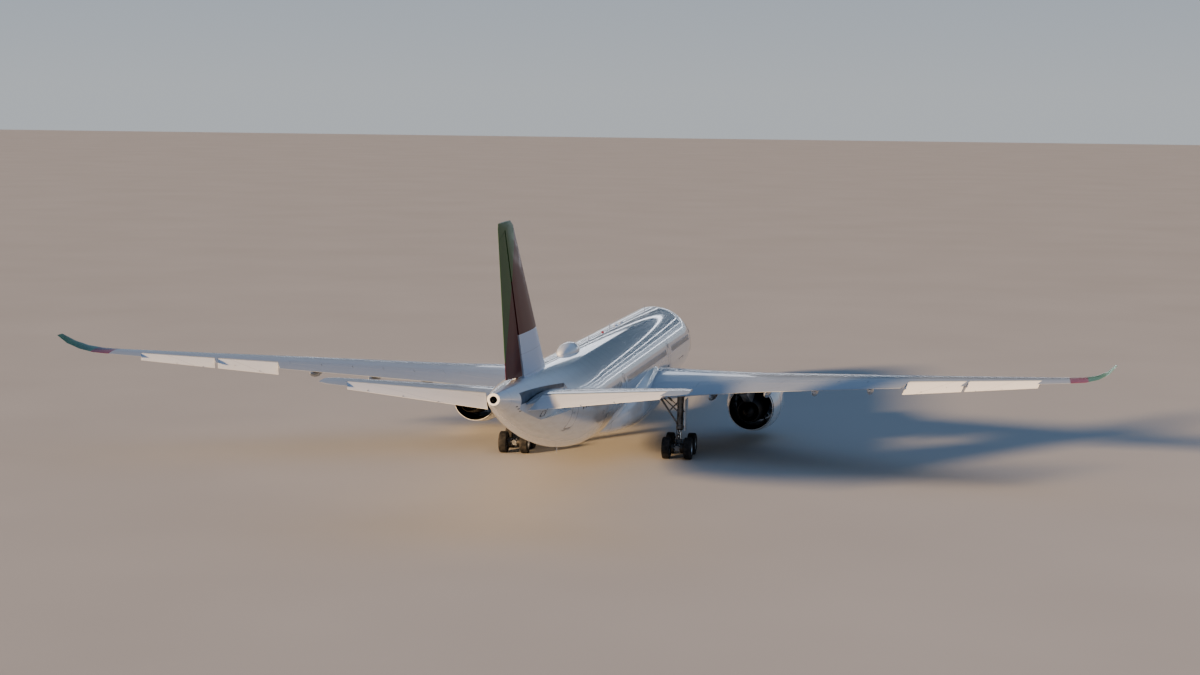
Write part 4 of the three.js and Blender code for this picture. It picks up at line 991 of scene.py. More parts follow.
print("belly fairing:", len(belly.data.polygons), "faces")

# %% [markdown]
# Cockpit windows are laminated glass in a dark band, with painted posts between the panes and
# a metal retainer round each. The band, posts and retainer are cut from thin shells of
# the hull, so they follow its double curve.

# %% Cockpit glazing
PANE_POSTS = (2.85, 3.35)  # stations of the posts between the side panes
FRONT_POSTS = (
    # how far out, and the station that each ends at
    (0.0, 3.0), (-0.86, 2.75), (0.86, 2.75),
)
POST_WIDTH, POST_LEAN = 0.07, 0.16


def hull_shell(name, tool, out, sunk):
    """The part of a tool between the hull grown by out and the hull sunk by sunk."""
    made = boolean(tool, hull_piece("outer", *BAND_ROOM, 50, out), "INTERSECT")
    made.name = name
    return shell_of(made, *BAND_ROOM, sunk, 50)


panes = hull_shell("cockpit_panes", band_prism(), 0.0, WINDOW_DEPTH - 0.002)
rim = hull_shell("cockpit_window_rim", boolean(band_prism(0.05), band_prism(-0.03, FAR + 1)), 0.008, 0.02)
half_post = POST_WIDTH / 2
posts = [room("post", (out - half_post, 1.6, 4), (out + half_post, end, 7)) for out, end in FRONT_POSTS]
for station in PANE_POSTS:
    low, high = axis_z(station) + 0.4, axis_z(station) + 1.4
    foot, head = station - POST_LEAN, station + POST_LEAN
    posts.append(prism(
        "post", [(foot, low), (foot + POST_WIDTH, low), (head + POST_WIDTH, high), (head, high)], -FAR, FAR))
bars = posts[0]
for post in posts[1:]:
    boolean(bars, post, "UNION")
boolean(bars, band_prism(0.0, FAR + 1), "INTERSECT")
bars = hull_shell("cockpit_window_posts", bars, 0.006, 0.02)
GLAZING = ((panes, cockpit_glass, "cockpit_glass"), (rim, pylon_topcoat, "white_paint"),
           (bars, white_topcoat, "white_paint"))
for made, finish, slot in GLAZING:
    hull_shaded(coated(made, finish))
    fixed_to(made, "airframe", ["cockpit_windows"] if made is panes else ())
print("cockpit glazing:", [len(made.data.polygons) for made, _, _ in GLAZING])

# %% [markdown]
# Wings, tail and their moving surfaces are built from straight ribs and spars, and their skins
# run straight along the span, so the frame's own shapes are right. Each is copied
# with its triangles merged and shaded smooth, and gets the coat that the real one has.

# %% Wing tip livery
WINGLET_RED, WINGLET_RED_TO = "#8C3A3E", 30.5  # metres from the centre line
WINGLET_GREEN = "#6FA07C"


def tip_livery():
    """Red, then green: two bright bands that end each wing."""
    material, add, shader, where = new_material("wing_tip_livery_topcoat")
    out = add("Math", {0: add("SeparateXYZ", {"Vector": where["Object"]}).outputs["X"]}, operation="ABSOLUTE")
    beyond = add("Math", {0: out, 1: WINGLET_RED_TO * SCALE}, operation="GREATER_THAN")
    cloud = add("TexNoise", {"Vector": where["Object"], "Scale": 1.5, "Detail": 4.0})
    leaf = add("Mix", {0: cloud, 6: GREEN, 7: WINGLET_GREEN}, data_type="RGBA")
    bands = add("Mix", {0: beyond, 6: WINGLET_RED, 7: leaf}, data_type="RGBA")
    rough = add("MapRange", {"Value": cloud, "To Min": 0.2, "To Max": 0.34})
    feed(shader, {"Base Color": bands, "Roughness": rough, "Coat Weight": 0.5})
    return material


winglet_livery = tip_livery()
print("wing tips are red out to", WINGLET_RED_TO, "m and green beyond")

# %% Lifting surfaces
SURFACES = (
    # node, whether it is its own body, slot, coat
    ("wing_{}", False, "wing_grey", wing_topcoat),
    ("winglet_{}", False, "green_paint", winglet_livery),
    ("slat_inner_{}", False, "leading_edge_metal", polished_aluminium),
    ("slats_outer_{}", False, "leading_edge_metal", polished_aluminium),
    ("flap_inner_{}", False, "wing_grey", wing_topcoat),
    ("flap_outer_{}", False, "wing_grey", wing_topcoat),
    ("aileron_inner_{}", True, "white_paint", white_topcoat),
    ("aileron_outer_{}", True, "white_paint", white_topcoat),
    ("spoiler_inner_{}", True, "wing_grey", wing_topcoat),
    ("spoilers_outer_{}", True, "wing_grey", wing_topcoat),
    ("elevator_{}", True, "white_paint", white_topcoat),
    ("tailplane", True, "wing_grey", wing_topcoat),
    ("fin", False, "fin_paint", fin_livery),
    ("rudder", True, "green_paint", rudder_livery),
)


def each_side(pattern):
    """The names that a pattern stands for: one for each side, or itself."""
    return [pattern.format(side) for side in SIDES] if "{}" in pattern else [pattern]


for pattern, moves, slot, coat in SURFACES:
    for name in each_side(pattern):
        fitted(coated(copy_of(name), coat), name if moves else "airframe", [name])
print("dressed", sum(len(each_side(row[0])) for row in SURFACES), "surfaces")

# %% [markdown]
# The engines hang ahead of the wing in round cowlings. The lip of the intake is polished
# metal, the cowl is painted, and inside is a duct with perforated sound liner. Behind
# the fan stand guide vanes, and from the back one sees the dark hot nozzle with its plug.
# The duct's aft part is near-black: painted shade of the inside of the duct.

# %% Engine places and profiles
ENGINE_OUT, ENGINE_Z = 9.42, 2.53
INTAKE, NACELLE_END = 21.0, 26.85
LIP_END, REVERSER_SEAM, LINER_END = 21.42, 24.62, 24.6
# Each profile is a row of (station, radius).
COWL = ((21.12, 1.66), (21.7, 1.8), (22.6, 1.87), (23.7, 1.88), (24.9, 1.8), (26.85, 1.475))
DUCT = ((21.5, 1.37), (22.2, 1.43), (22.9, 1.44), (23.9, 1.48), (25.6, 1.5), (26.85, 1.44))
LIP = (
    (21.12, 1.66), (21.05, 1.62), (21.01, 1.57), (21.0, 1.52), (21.03, 1.465), (21.12, 1.42), (21.28, 1.385),
)
CORE = ((23.1, 0.9), (24.0, 1.04), (24.9, 1.06), (25.6, 1.05), (26.2, 1.0), (27.2, 0.87), (28.3, 0.68))
PLUG = ((27.3, 0.0), (27.3, 0.56), (28.0, 0.5), (28.5, 0.39), (29.0, 0.22), (29.22, 0.08), (29.25, 0.0))
SPINNER = (
    (21.75, 0.0), (21.8, 0.07), (21.95, 0.2), (22.15, 0.335), (22.35, 0.425), (22.45, 0.452), (23.0, 0.46),
)


def engine_spot(side, station):
    return place(SIDES[side] * ENGINE_OUT, station, ENGINE_Z)


def smooth_profile(rows, count):
    """(station, radius) rows as a smooth curve of that many points."""
    rows = np.array(rows)
    stations = np.linspace(rows[0, 0], rows[-1, 0], count)
    return list(zip(stations, smooth_column(rows[:, 0], rows[:, 1], stations)))


def engine_lathe(name, side, profile, sides=96, closed=False):
    """Turns (station, radius) pairs about an engine's axis."""
    turned = [(radius, station - INTAKE) for station, radius in profile]
    return lathe(name, turned, engine_spot(side, INTAKE), (0, 1, 0), sides, closed)


def inside_pipe(side, first, last, radius):
    """A test for faces nearer to an engine's axis than a radius, between two stations."""

    def test(face):
        at = face.center / SCALE
        off = math.hypot(at.x - SIDES[side] * ENGINE_OUT, at.z - ENGINE_Z)
        return first < at.y + LENGTH / 2 < last and off < radius

    return test


def outwards(turn):
    """Unit vectors away from an engine's axis, and round it, for an angle."""
    return Vector((math.cos(turn), 0, math.sin(turn))), Vector((-math.sin(turn), 0, math.cos(turn)))


print("engines", ENGINE_OUT, "m out and", ENGINE_Z, "m up")

# %% Cowlings
BAND = ((0.0, -0.01), (0.0, 0.004), (0.016, 0.004), (0.016, -0.01))  # of sealant: aft and out from the skin
for side in SIDES:
    outer, inner = smooth_profile(COWL, 44), smooth_profile(DUCT, 36)
    ring = list(LIP[::-1]) + outer[1:] + [(NACELLE_END, 1.458)] + inner[::-1]
    cowl = coated(engine_lathe(f"nacelle_{side}_cowl", side, ring, closed=True), cowl_topcoat)
    painted_where(cowl, polished_aluminium, inside_pipe(side, 0, LIP_END, 9))
    painted_where(cowl, duct_liner, inside_pipe(side, 21.3, LINER_END, 1.53))
    # Painted shade: the duct behind the sound liner is near-black, as it lies in shade from behind.
    painted_where(cowl, soot_and_shade, inside_pipe(side, LINER_END, 26.7, 1.51))
    fitted(cowl, "airframe", [f"nacelle_{side}"])
    bands = []
    for station in (LIP_END, REVERSER_SEAM):
        line = [(station + aft, between(COWL, station) + out) for aft, out in BAND]
        bands.append(coated(engine_lathe("band", side, line, closed=True), seal_rubber_and_slot_shade))
    fitted(joined(f"nacelle_{side}_seams", bands), "airframe")
print("cowls have", len(ring), "rings")

# %% Core cowl, hot nozzle and plug
NOZZLE = ((28.3, 0.655), (27.3, 0.62), (27.25, 0.0))  # the inside of the nozzle
SPOKES = (
    # name, how many, finish, station, radii of its sections, its section as (aft, round the axis)
    ("vane", 38, blade_titanium, 23.3, (0.88, 1.15, 1.475),
     ((0, 0.035), (0.12, 0.012), (0.26, 0.0), (0.26, -0.008), (0.12, -0.004), (0, 0.025))),
    ("strut", 6, duct_liner, 23.7, (0.95, 1.49),
     ((0, 0.0), (0.06, 0.045), (0.25, 0.05), (0.5, 0.012), (0.5, -0.012), (0.25, -0.05), (0.06, -0.045))),
)


def in_nozzle(side):
    """A test for the faces inside the hot nozzle."""
    near_end, inside = inside_pipe(side, 27.2, 27.26, 9), inside_pipe(side, 27.2, 99, 0.66)

    def test(face):
        inwards = face.normal.x * (face.center.x / SCALE - SIDES[side] * ENGINE_OUT)
        inwards += face.normal.z * (face.center.z / SCALE - ENGINE_Z)
        return near_end(face) or (inside(face) and face.normal.y > -0.4 and inwards < 0.0)

    return test


for side in SIDES:
    profile = [(23.1, 0.0)] + smooth_profile(CORE, 40) + list(NOZZLE)
    core = coated(engine_lathe(f"engine_core_{side}_cowl", side, profile), nozzle_alloy)
    # Soot and painted shade: the inside and the floor of the hot nozzle are near-black.
    painted_where(core, soot_and_shade, in_nozzle(side))
    plug = coated(engine_lathe(f"engine_plug_{side}", side, PLUG), nozzle_alloy)
    spokes = []
    for name, count, finish, station, radii, section in SPOKES:
        for turn in angles(count):
            out, round_it = outwards(turn)
            rings = []
            for radius in radii:
                hub = engine_spot(side, station) + out * radius * SCALE
                rings.append([hub + (Vector((0, aft, 0)) + round_it * off) * SCALE for aft, off in section])
            spokes.append(coated(loft(name, rings), finish))
    fitted(core, "airframe", [f"engine_core_{side}"])
    fitted(plug, "airframe")
    fitted(joined(f"engine_vanes_{side}", spokes), "airframe")
print(len(spokes), "guide vanes and struts in each duct")

# %% [markdown]
# Fan blades are hollow titanium. Each one is twisted, because its tip moves several times
# faster than its root, and its tip is swept. A blade is lofted from thin lens-shaped
# sections, turned a little more at each radius, and copied round the hub.

# %% Fans
FAN_STATION, FAN_BLADES, BLADE_STEPS = 22.64, 18, 12
BLADE_ROWS = (
    # radius, chord, angle from the axis, sweep aft
    (0.40, 0.40, 22, 0.00), (0.60, 0.44, 33, -0.02), (0.85, 0.50, 44, -0.03), (1.10, 0.54, 53, 0.0),
    (1.28, 0.54, 59, 0.04), (1.383, 0.50, 62, 0.08),
)
BLADE_SECTION = (
    # along and across the chord
    (-0.5, 0.0), (-0.3, 0.028), (0.0, 0.04), (0.3, 0.026), (0.5, 0.0),
    (0.3, -0.012), (0.0, -0.01), (-0.3, -0.004),
)
SHAFT = ((22.95, 0.0), (22.95, 0.155), (23.45, 0.155), (23.45, 0.0))
SPIRAL = {"turns": 0.8, "width": 0.045, "first": 21.8, "long": 0.34, "steps": 39}


def blade_rings(side, around):
    rows = np.array(BLADE_ROWS)
    radii = np.linspace(rows[0, 0], rows[-1, 0], BLADE_STEPS)
    chord, angle, sweep = (smooth_column(rows[:, 0], rows[:, c], radii) for c in (1, 2, 3))
    turn = Matrix.Rotation(around, 3, "Y")
    rings = []
    for r, long, lean, back in zip(radii, chord, np.radians(angle), sweep):
        c, s = math.cos(lean), math.sin(lean)
        hub = engine_spot(side, FAN_STATION + back)
        rings.append([
            hub + turn @ Vector(((x * s + y * c) * long, (x * c - y * s) * long, r)) * SCALE
            for x, y in BLADE_SECTION])
    return rings


def spiral_mark(side):
    """A painted spiral on the spinner, which shows the ground crew that the fan turns."""
    path = []
    for i in range(SPIRAL["steps"] + 1):
        t = i / SPIRAL["steps"]
        station = SPIRAL["first"] + SPIRAL["long"] * t
        out, _ = outwards(SPIRAL["turns"] * 2 * math.pi * t)
        path.append(engine_spot(side, station) + out * (between(SPINNER, station) + 0.004) * SCALE)
    return tube("swirl", path, SPIRAL["width"] / 4, 8)


for side in SIDES:
    spinner = smooth_profile(SPINNER, 28) + [(23.0, 0.0)]
    parts = [
        coated(engine_lathe("spinner", side, spinner, 72), cowl_topcoat),
        coated(engine_lathe("shaft", side, SHAFT, 32), dark_steel),
        coated(spiral_mark(side), seal_rubber_and_slot_shade),
    ]
    for turn in angles(FAN_BLADES, 0.5):
        parts.append(coated(loft("blade", blade_rings(side, turn)), blade_titanium))
    fitted(joined(f"fan_{side}_blades", parts), f"fan_{side}", [f"fan_{side}"])
print(FAN_BLADES, "blades on each fan")

# %% [markdown]
# The pylon carries the engine from the wing's box. It is a thin aerofoil-shaped beam with
# sheet sides. The frame's shape is kept, with its edges rounded.

# %% Pylons
for name in each_side("pylon_{}"):
    pylon = coated(bevelled(copy_of(name), 0.05, 3, 50), pylon_topcoat)
    fitted(pylon, "airframe", [name], math.radians(40))
print("pylons:", len(pylon.data.polygons), "faces each")

# %% [markdown]
# An airliner's tyre is cross-ply rubber with plain grooves round it, no tread blocks. It sits
# on a forged aluminium wheel in two halves, bolted together, with vents for the brake's heat.
# One function turns a whole pair on its axle, because all five pairs are built alike.

# %% Profiles of tyres and hubs
TYRES = {
    "main": {"radius": 0.7, "half": 0.265, "apart": 0.7, "axle": 0.1},
    "nose": {"radius": 0.525, "half": 0.195, "apart": 0.36, "axle": 0.07},
}
SIDEWALL = (
    # share of the radius, share of the half width
    (0.54, 0.82), (0.6, 0.95), (0.72, 1.0), (0.84, 0.985), (0.92, 0.93), (0.965, 0.85), (0.99, 0.72),
)
TREAD = 0.72  # share of the half width
GROOVES = (-0.62, -0.22, 0.22, 0.62)  # share of the tread's half width
GROOVE = ((0.0, -1.3), (1.0, -1.0), (1.0, 1.0), (0.0, 1.3))  # share of its depth, share of its half width
HUB = (
    # share of the rim's radius, share of the tyre's half width
    (0.62, 0.3), (0.86, 0.34), (0.95, 0.6), (1.0, 0.84), (1.045, 0.86), (1.05, 0.78),
    (1.0, 0.6), (0.99, -0.8), (0.93, -0.84), (0.9, -0.5), (0.82, 0.1),
)
CAP = ((0.0, 0.62), (0.13, 0.62), (0.15, 0.5), (0.2, 0.36))  # share of the tyre's radius and half width


def tyre_profile(radius, half):
    """(radius, across) round a tyre: inner bead, sidewall, shoulder, tread with grooves, and back."""
    bead, tread = radius * SIDEWALL[0][0], half * TREAD
    side = [(radius * r, -half * x) for r, x in SIDEWALL]
    crown = [(radius * 0.996, -tread * 0.85)]
    for groove in GROOVES:
        crown += [(radius - deep * radius * 0.016, groove * tread + x * half * 0.035) for deep, x in GROOVE]
    crown += [(radius * 0.996, tread * 0.85)]
    back = [(r, -x) for r, x in side[::-1]]
    return side + crown + back + [(bead * 0.97, half * 0.7), (bead * 0.97, -half * 0.7)]


def hub_profile(radius, half, rim, axle):
    bore = [(axle * 1.6, half * 0.05), (axle * 0.9, 0.0), (axle * 0.9, -half * 0.2), (0.0, -half * 0.2)]
    return [(radius * r, half * x) for r, x in CAP] + [(rim * r, half * x) for r, x in HUB] + bore


print("a main tyre is turned from", len(tyre_profile(0.7, 0.265)), "points")

# %% Wheel pairs
STUDS = (
    # name, how many, first one's share of a step, share of the rim's radius, height, radius, sides, finish
    ("bolt", 18, 0.0, 0.72, 0.03, 0.013, 6, dark_steel),
    ("vent", 9, 0.5, 0.5, 0.012, None, 16, seal_rubber_and_slot_shade),
)
MAIN_OUT, MAIN_STATION, AXLE_HALF = 5.34, 32.05, 0.99
NOSE_STATION = 6.67


def wheel_pair(node_name, centre, tyre):
    radius, half, axle = tyre["radius"], tyre["half"], tyre["axle"]
    rim = radius * 0.535
    parts = []

    def stud(name, foot, height, radius, sides, finish):
        """A short rod that stands out from a wheel."""
        parts.append(coated(tube(name, (foot, foot + outer * height * SCALE), radius, sides), finish))

    for hand in (1, -1):
        outer = Vector((hand, 0, 0))
        hub = centre + outer * tyre["apart"] * SCALE
        profile = [(r, x * hand) for r, x in hub_profile(radius, half, rim, axle)]
        ring = lathe("tyre", tyre_profile(radius, half), hub, (1, 0, 0), 72, closed=True)
        parts.append(coated(ring, tyre_rubber))
        parts.append(coated(lathe("hub", profile, hub, (1, 0, 0), 64), forged_aluminium))
        for name, count, shift, share, height, thick, sides, finish in STUDS:
            for turn in angles(count, shift):
                out = Vector((0, math.cos(turn), math.sin(turn)))
                foot = hub + (out * rim * share + outer * half * 0.3) * SCALE
                stud(name, foot, height, thick or rim * 0.1, sides, finish)
        stud("cap", hub + outer * half * 0.62 * SCALE, 0.025, radius * 0.09, 20, gear_enamel)
    reach = Vector((tyre["apart"] * SCALE, 0, 0))
    parts.append(coated(tube("axle", (centre - reach, centre + reach), axle), dark_steel))
    return fitted(joined(f"{node_name}_tyres", parts), node_name, [node_name])


for side, sign in SIDES.items():
    for end, step in (("front", -1), ("rear", 1)):
        spot = place(sign * MAIN_OUT, MAIN_STATION + step * AXLE_HALF, TYRES["main"]["radius"])
        pair = wheel_pair(f"main_wheels_{end}_{side}", spot, TYRES["main"])
wheel_pair("nose_wheels", place(0, NOSE_STATION, TYRES["nose"]["radius"]), TYRES["nose"])
print("a main pair has", len(pair.data.polygons), "faces; a tyre is", TYRES["main"]["radius"] * 2, "m high")

# %% [markdown]
# The main leg is a forged cylinder that takes the landing. A hard-chromed piston slides in it,
# torque links keep the piston from turning, and stays brace it to the wing. Hydraulic
# hoses run down to the brakes on the bogie beam.

# %% Tables of the main gear leg
LEG_TOP, LEG_FOOT = Vector((MAIN_OUT, 31.55, 4.3)), Vector((MAIN_OUT, MAIN_STATION, 0.7))
CYLINDER = ((4.16, 3.5, 3.46, 2.0, 1.96, 1.78), (0.225, 0.225, 0.2, 0.2, 0.245, 0.245))  # heights, radii
SLEEVES = (
    # name, finish, top, bottom, radius
    ("gland", dark_steel, 1.78, 1.7, 0.2), ("piston", hard_chrome, 1.7, 1.12, 0.135),
    ("collar", gear_enamel, 3.0, 2.9, 0.235), ("collar", gear_enamel, 2.45, 2.38, 0.225),
)
STAYS = (
    # from, to, radius, its other end's radius; places are (out, station, height)
    ((4.0, 31.75, 3.8), (5.2, 31.85, 2.05), 0.08, 0.065),
    ((4.62, 31.8, 2.9), (5.3, 31.62, 3.62), 0.045, 0.045),
    ((5.34, 30.2, 3.75), (5.34, 31.8, 2.2), 0.085, 0.07),
    ((4.3, 31.95, 3.75), (5.22, 31.98, 2.9), 0.05, 0.05),
)
STAY_SHAPE = (
    # share of its length, factor on the first radius, factor on the second
    (0.0, 1.25, 0), (0.04, 1.25, 0), (0.06, 0.85, 0), (0.94, 0, 0.85), (0.96, 0, 1.3), (1.0, 0, 1.3),
)
LINKS = (((31.85, 1.78), (32.5, 1.46)), ((32.5, 1.46), (32.12, 1.0)))  # station and height of their ends
LEG_RODS = (
    # name, finish, from, to, radius, sides
    ("link_pin", dark_steel, (MAIN_OUT - 0.09, 32.5, 1.46), (MAIN_OUT + 0.09, 32.5, 1.46), 0.045, 16),
    ("actuator", hard_chrome, (4.55, 31.4, 3.7), (5.15, 31.55, 3.2), 0.035, 16),
    ("actuator_body", gear_enamel, (4.2, 31.3, 4.0), (4.75, 31.45, 3.53), 0.065, 20),
)
DOOR_ARMS = ((2.9, 31.78), (1.95, 31.9))  # height, station
HOSE_OUT = 0.16
HOSE_END = ((1, 32.36, 1.5), (1, 32.36, 1.15), (0.9, 32.28, 0.95))  # share of the way out, station, height
print(len(STAYS), "stays brace each main leg")

# %% Main gear legs


def leg_parts(sign):
    parts = []

    def at(out, station, z):
        return place(sign * out, station, z)

    def on(z, off=0.0, back=0.0):
        """A place on the leg's own line at a height, and off to the side or back from it."""
        spot = LEG_TOP.lerp(LEG_FOOT, (LEG_TOP.z - z) / (LEG_TOP.z - LEG_FOOT.z))
        return at(spot.x + off, spot.y + back, spot.z)

    def add_rod(name, finish, path, radii, sides=20):
        parts.append(coated(tube(name, path, radii, sides), finish))

    heights, radii = CYLINDER
    add_rod("cylinder", gear_enamel, [on(z) for z in heights], radii, 32)
    for name, finish, top, bottom, radius in SLEEVES:
        add_rod(name, finish, (on(top), on(bottom)), radius, 32)
    fork = block("fork", at(MAIN_OUT - 0.27, 31.87, 0.56), at(MAIN_OUT + 0.27, 32.23, 1.16))
    boolean(fork, block("slot", at(MAIN_OUT - 0.18, 31, 0.3), at(MAIN_OUT + 0.18, 33, 0.88)))
    pin = [at(MAIN_OUT + off, MAIN_STATION, 0.7) for off in (-1, 1)]
    boolean(fork, tube("pin", pin, 0.122, 32))
    parts.append(coated(bevelled(fork, 0.03, 3), gear_enamel))
    for a, b, first, second in STAYS:
        a, b = at(*a), at(*b)
        radii = [first * f + second * s for _, f, s in STAY_SHAPE]
        add_rod("stay", gear_enamel, [a.lerp(b, share) for share, _, _ in STAY_SHAPE], radii)
    for a, b in LINKS:
        for off in (-0.09, 0.09):
            add_rod("link", gear_enamel, (at(MAIN_OUT + off, *a), at(MAIN_OUT + off * 0.3, *b)), 0.035, 12)
    for name, finish, a, b, radius, sides in LEG_RODS:
        add_rod(name, finish, (at(*a), at(*b)), radius, sides)
    for off in (-HOSE_OUT, HOSE_OUT):
        path = [on(3.4, off, 0.17), on(2.6, off, 0.2), on(1.9, off, 0.27)]
        path += [at(MAIN_OUT + off * share, station, z) for share, station, z in HOSE_END]
        add_rod("hose", hose_rubber, path, 0.016, 8)
        for z in (3.2, 2.68, 2.15):
            add_rod("clip", dark_steel, (on(z, off * 0.6, 0.16), on(z, off * 1.1, 0.2)), 0.026, 8)
    for z, station in DOOR_ARMS:
        arm = [at(MAIN_OUT + reach, station, z) for reach in (0.1, 0.36)]
        add_rod("door_arm", gear_enamel, arm, 0.045, 12)
    return parts


for side, sign in SIDES.items():
    leg = joined(f"main_gear_leg_{side}_forging", leg_parts(sign))
    fitted(leg, "airframe", [f"main_gear_leg_{side}"])
print("a leg has", len(leg.data.polygons), "faces")

# %% Bogie beams, brakes and leg doors
BRAKE = ((0.12, 0.0), (0.3, 0.0), (0.33, 0.03), (0.33, 0.2), (0.29, 0.23), (0.12, 0.23))
BRAKE_PISTONS, PISTON_CIRCLE = 7, 0.235
BEAM = (
    # share of its length, radius
    (0, 0.165), (0.08, 0.175), (0.1, 0.15), (0.42, 0.145), (0.45, 0.17),
    (0.55, 0.17), (0.58, 0.145), (0.9, 0.15), (0.92, 0.175), (1, 0.165),
)


def bogie_parts(sign):

    def at(out, back):
        return place(sign * MAIN_OUT + out, MAIN_STATION + back, TYRES["main"]["radius"])

    ends = [at(0, step * (AXLE_HALF + 0.2)) for step in (-1, 1)]
    path = [ends[0].lerp(ends[1], share) for share, _ in BEAM]
    beam = tube("beam", path, [radius for _, radius in BEAM], 28)
    boolean(beam, tube("pivot", (at(-0.265, 0), at(0.265, 0)), 0.118, 28), "UNION")
    axles = [step * AXLE_HALF for step in (-1, 1)]
    for back in axles:
        boolean(beam, tube("axle_bore", (at(-0.5, back), at(0.5, back)), 0.104, 32))
    parts = [coated(beam, gear_enamel)]
    for back in axles:
        for hand in (-1, 1):
            start = at(hand * 0.19, back)
            profile = [(r, off * hand) for r, off in BRAKE]
            parts.append(coated(lathe("brake", profile, start, (1, 0, 0), 40, closed=True), dark_steel))
            for turn in angles(BRAKE_PISTONS, 0.25):
                spot = start + Vector((0, math.cos(turn), math.sin(turn))) * PISTON_CIRCLE * SCALE
                piston = tube("brake_piston", (spot, spot - Vector((hand * 0.035, 0, 0)) * SCALE), 0.045, 12)
                parts.append(coated(piston, forged_aluminium))
    return parts


def dressed_door(name, width):
    """A gear door: the frame's own shape with its edges rounded."""
    door = coated(bevelled(copy_of(name), width, 2), white_topcoat)
    fitted(door, "airframe", [name])


for side, sign in SIDES.items():
    name = f"main_gear_bogie_{side}"
    fitted(joined(f"{name}_beam", bogie_parts(sign)), "airframe", [name])
    dressed_door(f"main_gear_door_{side}", 0.015)
print("bogies, brakes and doors on both sides")

# %% [markdown]
# The nose leg steers. Its upper cylinder is fixed in the bay with two drag struts, and the
# piston, torque links and axle below the collar turn together with the wheels.

# %% Nose gear
COLLAR_Z = 1.32
ROOF, AXLE_Z = NOSE_BAY["roof"] - 0.002, TYRES["nose"]["radius"]
LAMP = ((0.0, 0.0), (0.085, 0.0), (0.09, -0.02), (0.06, 0.06), (0.0, 0.08))
NOSE_LINKS = (((-0.1, 1.2), (-0.34, 0.96)), ((-0.34, 0.96), (-0.1, 0.62)))  # how far back, and height


def nose_at(x, back, z):
    return place(x, NOSE_STATION + back, z)


def nose_rod(name, finish, points, radii, sides=32):
    """A coated rod through (x, back, height) points, from the leg's own line."""
    return coated(tube(name, [nose_at(*point) for point in points], radii, sides), finish)


def upright(name, finish, heights, radii):
    return nose_rod(name, finish, [(0, 0, z) for z in heights], radii)


def across(name, finish, half, back, z, radius, sides):
    return nose_rod(name, finish, [(-half, back, z), (half, back, z)], radius, sides)


fixed = [
    upright("cylinder", gear_enamel, (ROOF, 1.52, 1.5, COLLAR_Z), (0.13, 0.13, 0.168, 0.168)),
    upright("collar", gear_enamel, (2.2, 2.1), 0.15),
    across("steering_motor", gear_enamel, 0.26, 0.02, 1.44, 0.055, 20),
]
for hand in (-1, 1):
    a, b = nose_at(hand * 0.3, 0.68, ROOF), nose_at(hand * 0.05, 0.08, 1.75)
    strut = tube("strut", [a, a.lerp(b, 0.1), a.lerp(b, 0.9), b], (0.06, 0.045, 0.045, 0.06), 16)
    hose = [(hand * 0.1, -0.1, 2.3), (hand * 0.12, -0.13, 1.8), (hand * 0.1, -0.15, 1.5)]
    lens = nose_at(hand * 0.22, -0.13, 1.86)
    arm = (lens + Vector((0, 0.03, 0)), nose_at(hand * 0.05, 0, 1.86))
    fixed += [
        coated(strut, gear_enamel),
        nose_rod("hose", hose_rubber, hose, 0.014, 8),
        coated(lathe("lamp", LAMP, lens, (0, 1, 0), 24), clear_lens),
        coated(tube("lamp_arm", arm, 0.02, 8), gear_enamel),
    ]
boolean(fixed[0], upright("bore", gear_enamel, (1.9, 1.0), 0.095))
fitted(joined("nose_gear_leg_forging", fixed), "airframe", ["nose_gear_leg"])
turning = [
    upright("piston", hard_chrome, (1.85, 1.12), 0.088),
    upright("yoke", gear_enamel, (COLLAR_Z - 0.016, 1.16, 1.13, AXLE_Z), (0.155, 0.155, 0.11, 0.12)),
    across("axle_housing", gear_enamel, 0.15, 0, AXLE_Z, 0.128, 32),
]
boolean(turning[2], across("axle_bore", gear_enamel, 0.3, 0, AXLE_Z, 0.073, 24))
for off in (-0.06, 0.06):
    turning += [nose_rod("link", gear_enamel, [(off, *a), (off * 0.4, *b)], 0.027, 12) for a, b in NOSE_LINKS]
turning.append(across("link_pin", dark_steel, 0.06, -0.34, 0.96, 0.035, 12))
fitted(joined("nose_gear_fork_forging", turning), "nose_gear_fork", ["nose_gear_fork"])
for name in each_side("nose_gear_door_{}"):
    dressed_door(name, 0.008)
print("nose gear: the collar is", COLLAR_Z, "m above the ground")

# %% [markdown]
# A wide body has a window between each pair of frames, 533 mm apart. Each is a rounded
# acrylic pane in a pressed aluminium surround. They are small patches laid on the hull's own
# surface, so one function finds the surface at a station and a height.

# %% Places on the hull's skin
SUNK = -0.02  # how far small parts reach into the skin


def on_hull(side, station, height, off=0.0):
    """A point on the skin at a height from the fuselage axis, and off from it, outwards."""
    wide, top, bottom = section_at(station)
    middle, tall = (top + bottom) / 2, (top - bottom) / 2
    s = min(max((height - middle) / tall, -1), 1)
    out, up = (wide + off) * math.sqrt(1 - s * s), (tall + off) * s
    return place(side * out, station, axis_z(station) + middle + up)


def rounded(width, height, corner, steps=5, longest=0.15):
    """A rounded rectangle about the origin. Long sides are split, so that they can bend with the skin."""
    turns = []
    for cx, cy, start in ((1, 1, 0), (-1, 1, 90), (-1, -1, 180), (1, -1, 270)):
        middle = Vector((cx * (width / 2 - corner), cy * (height / 2 - corner)))
        for i in range(steps + 1):
            a = math.radians(start + 90 * i / steps)
            turns.append(middle + Vector((math.cos(a), math.sin(a))) * corner)
    points = []
    for a, b in zip(turns, turns[1:] + turns[:1]):
        parts = max(1, math.ceil((b - a).length / longest))
        points += [tuple(a.lerp(b, i / parts)) for i in range(parts)]
    return points


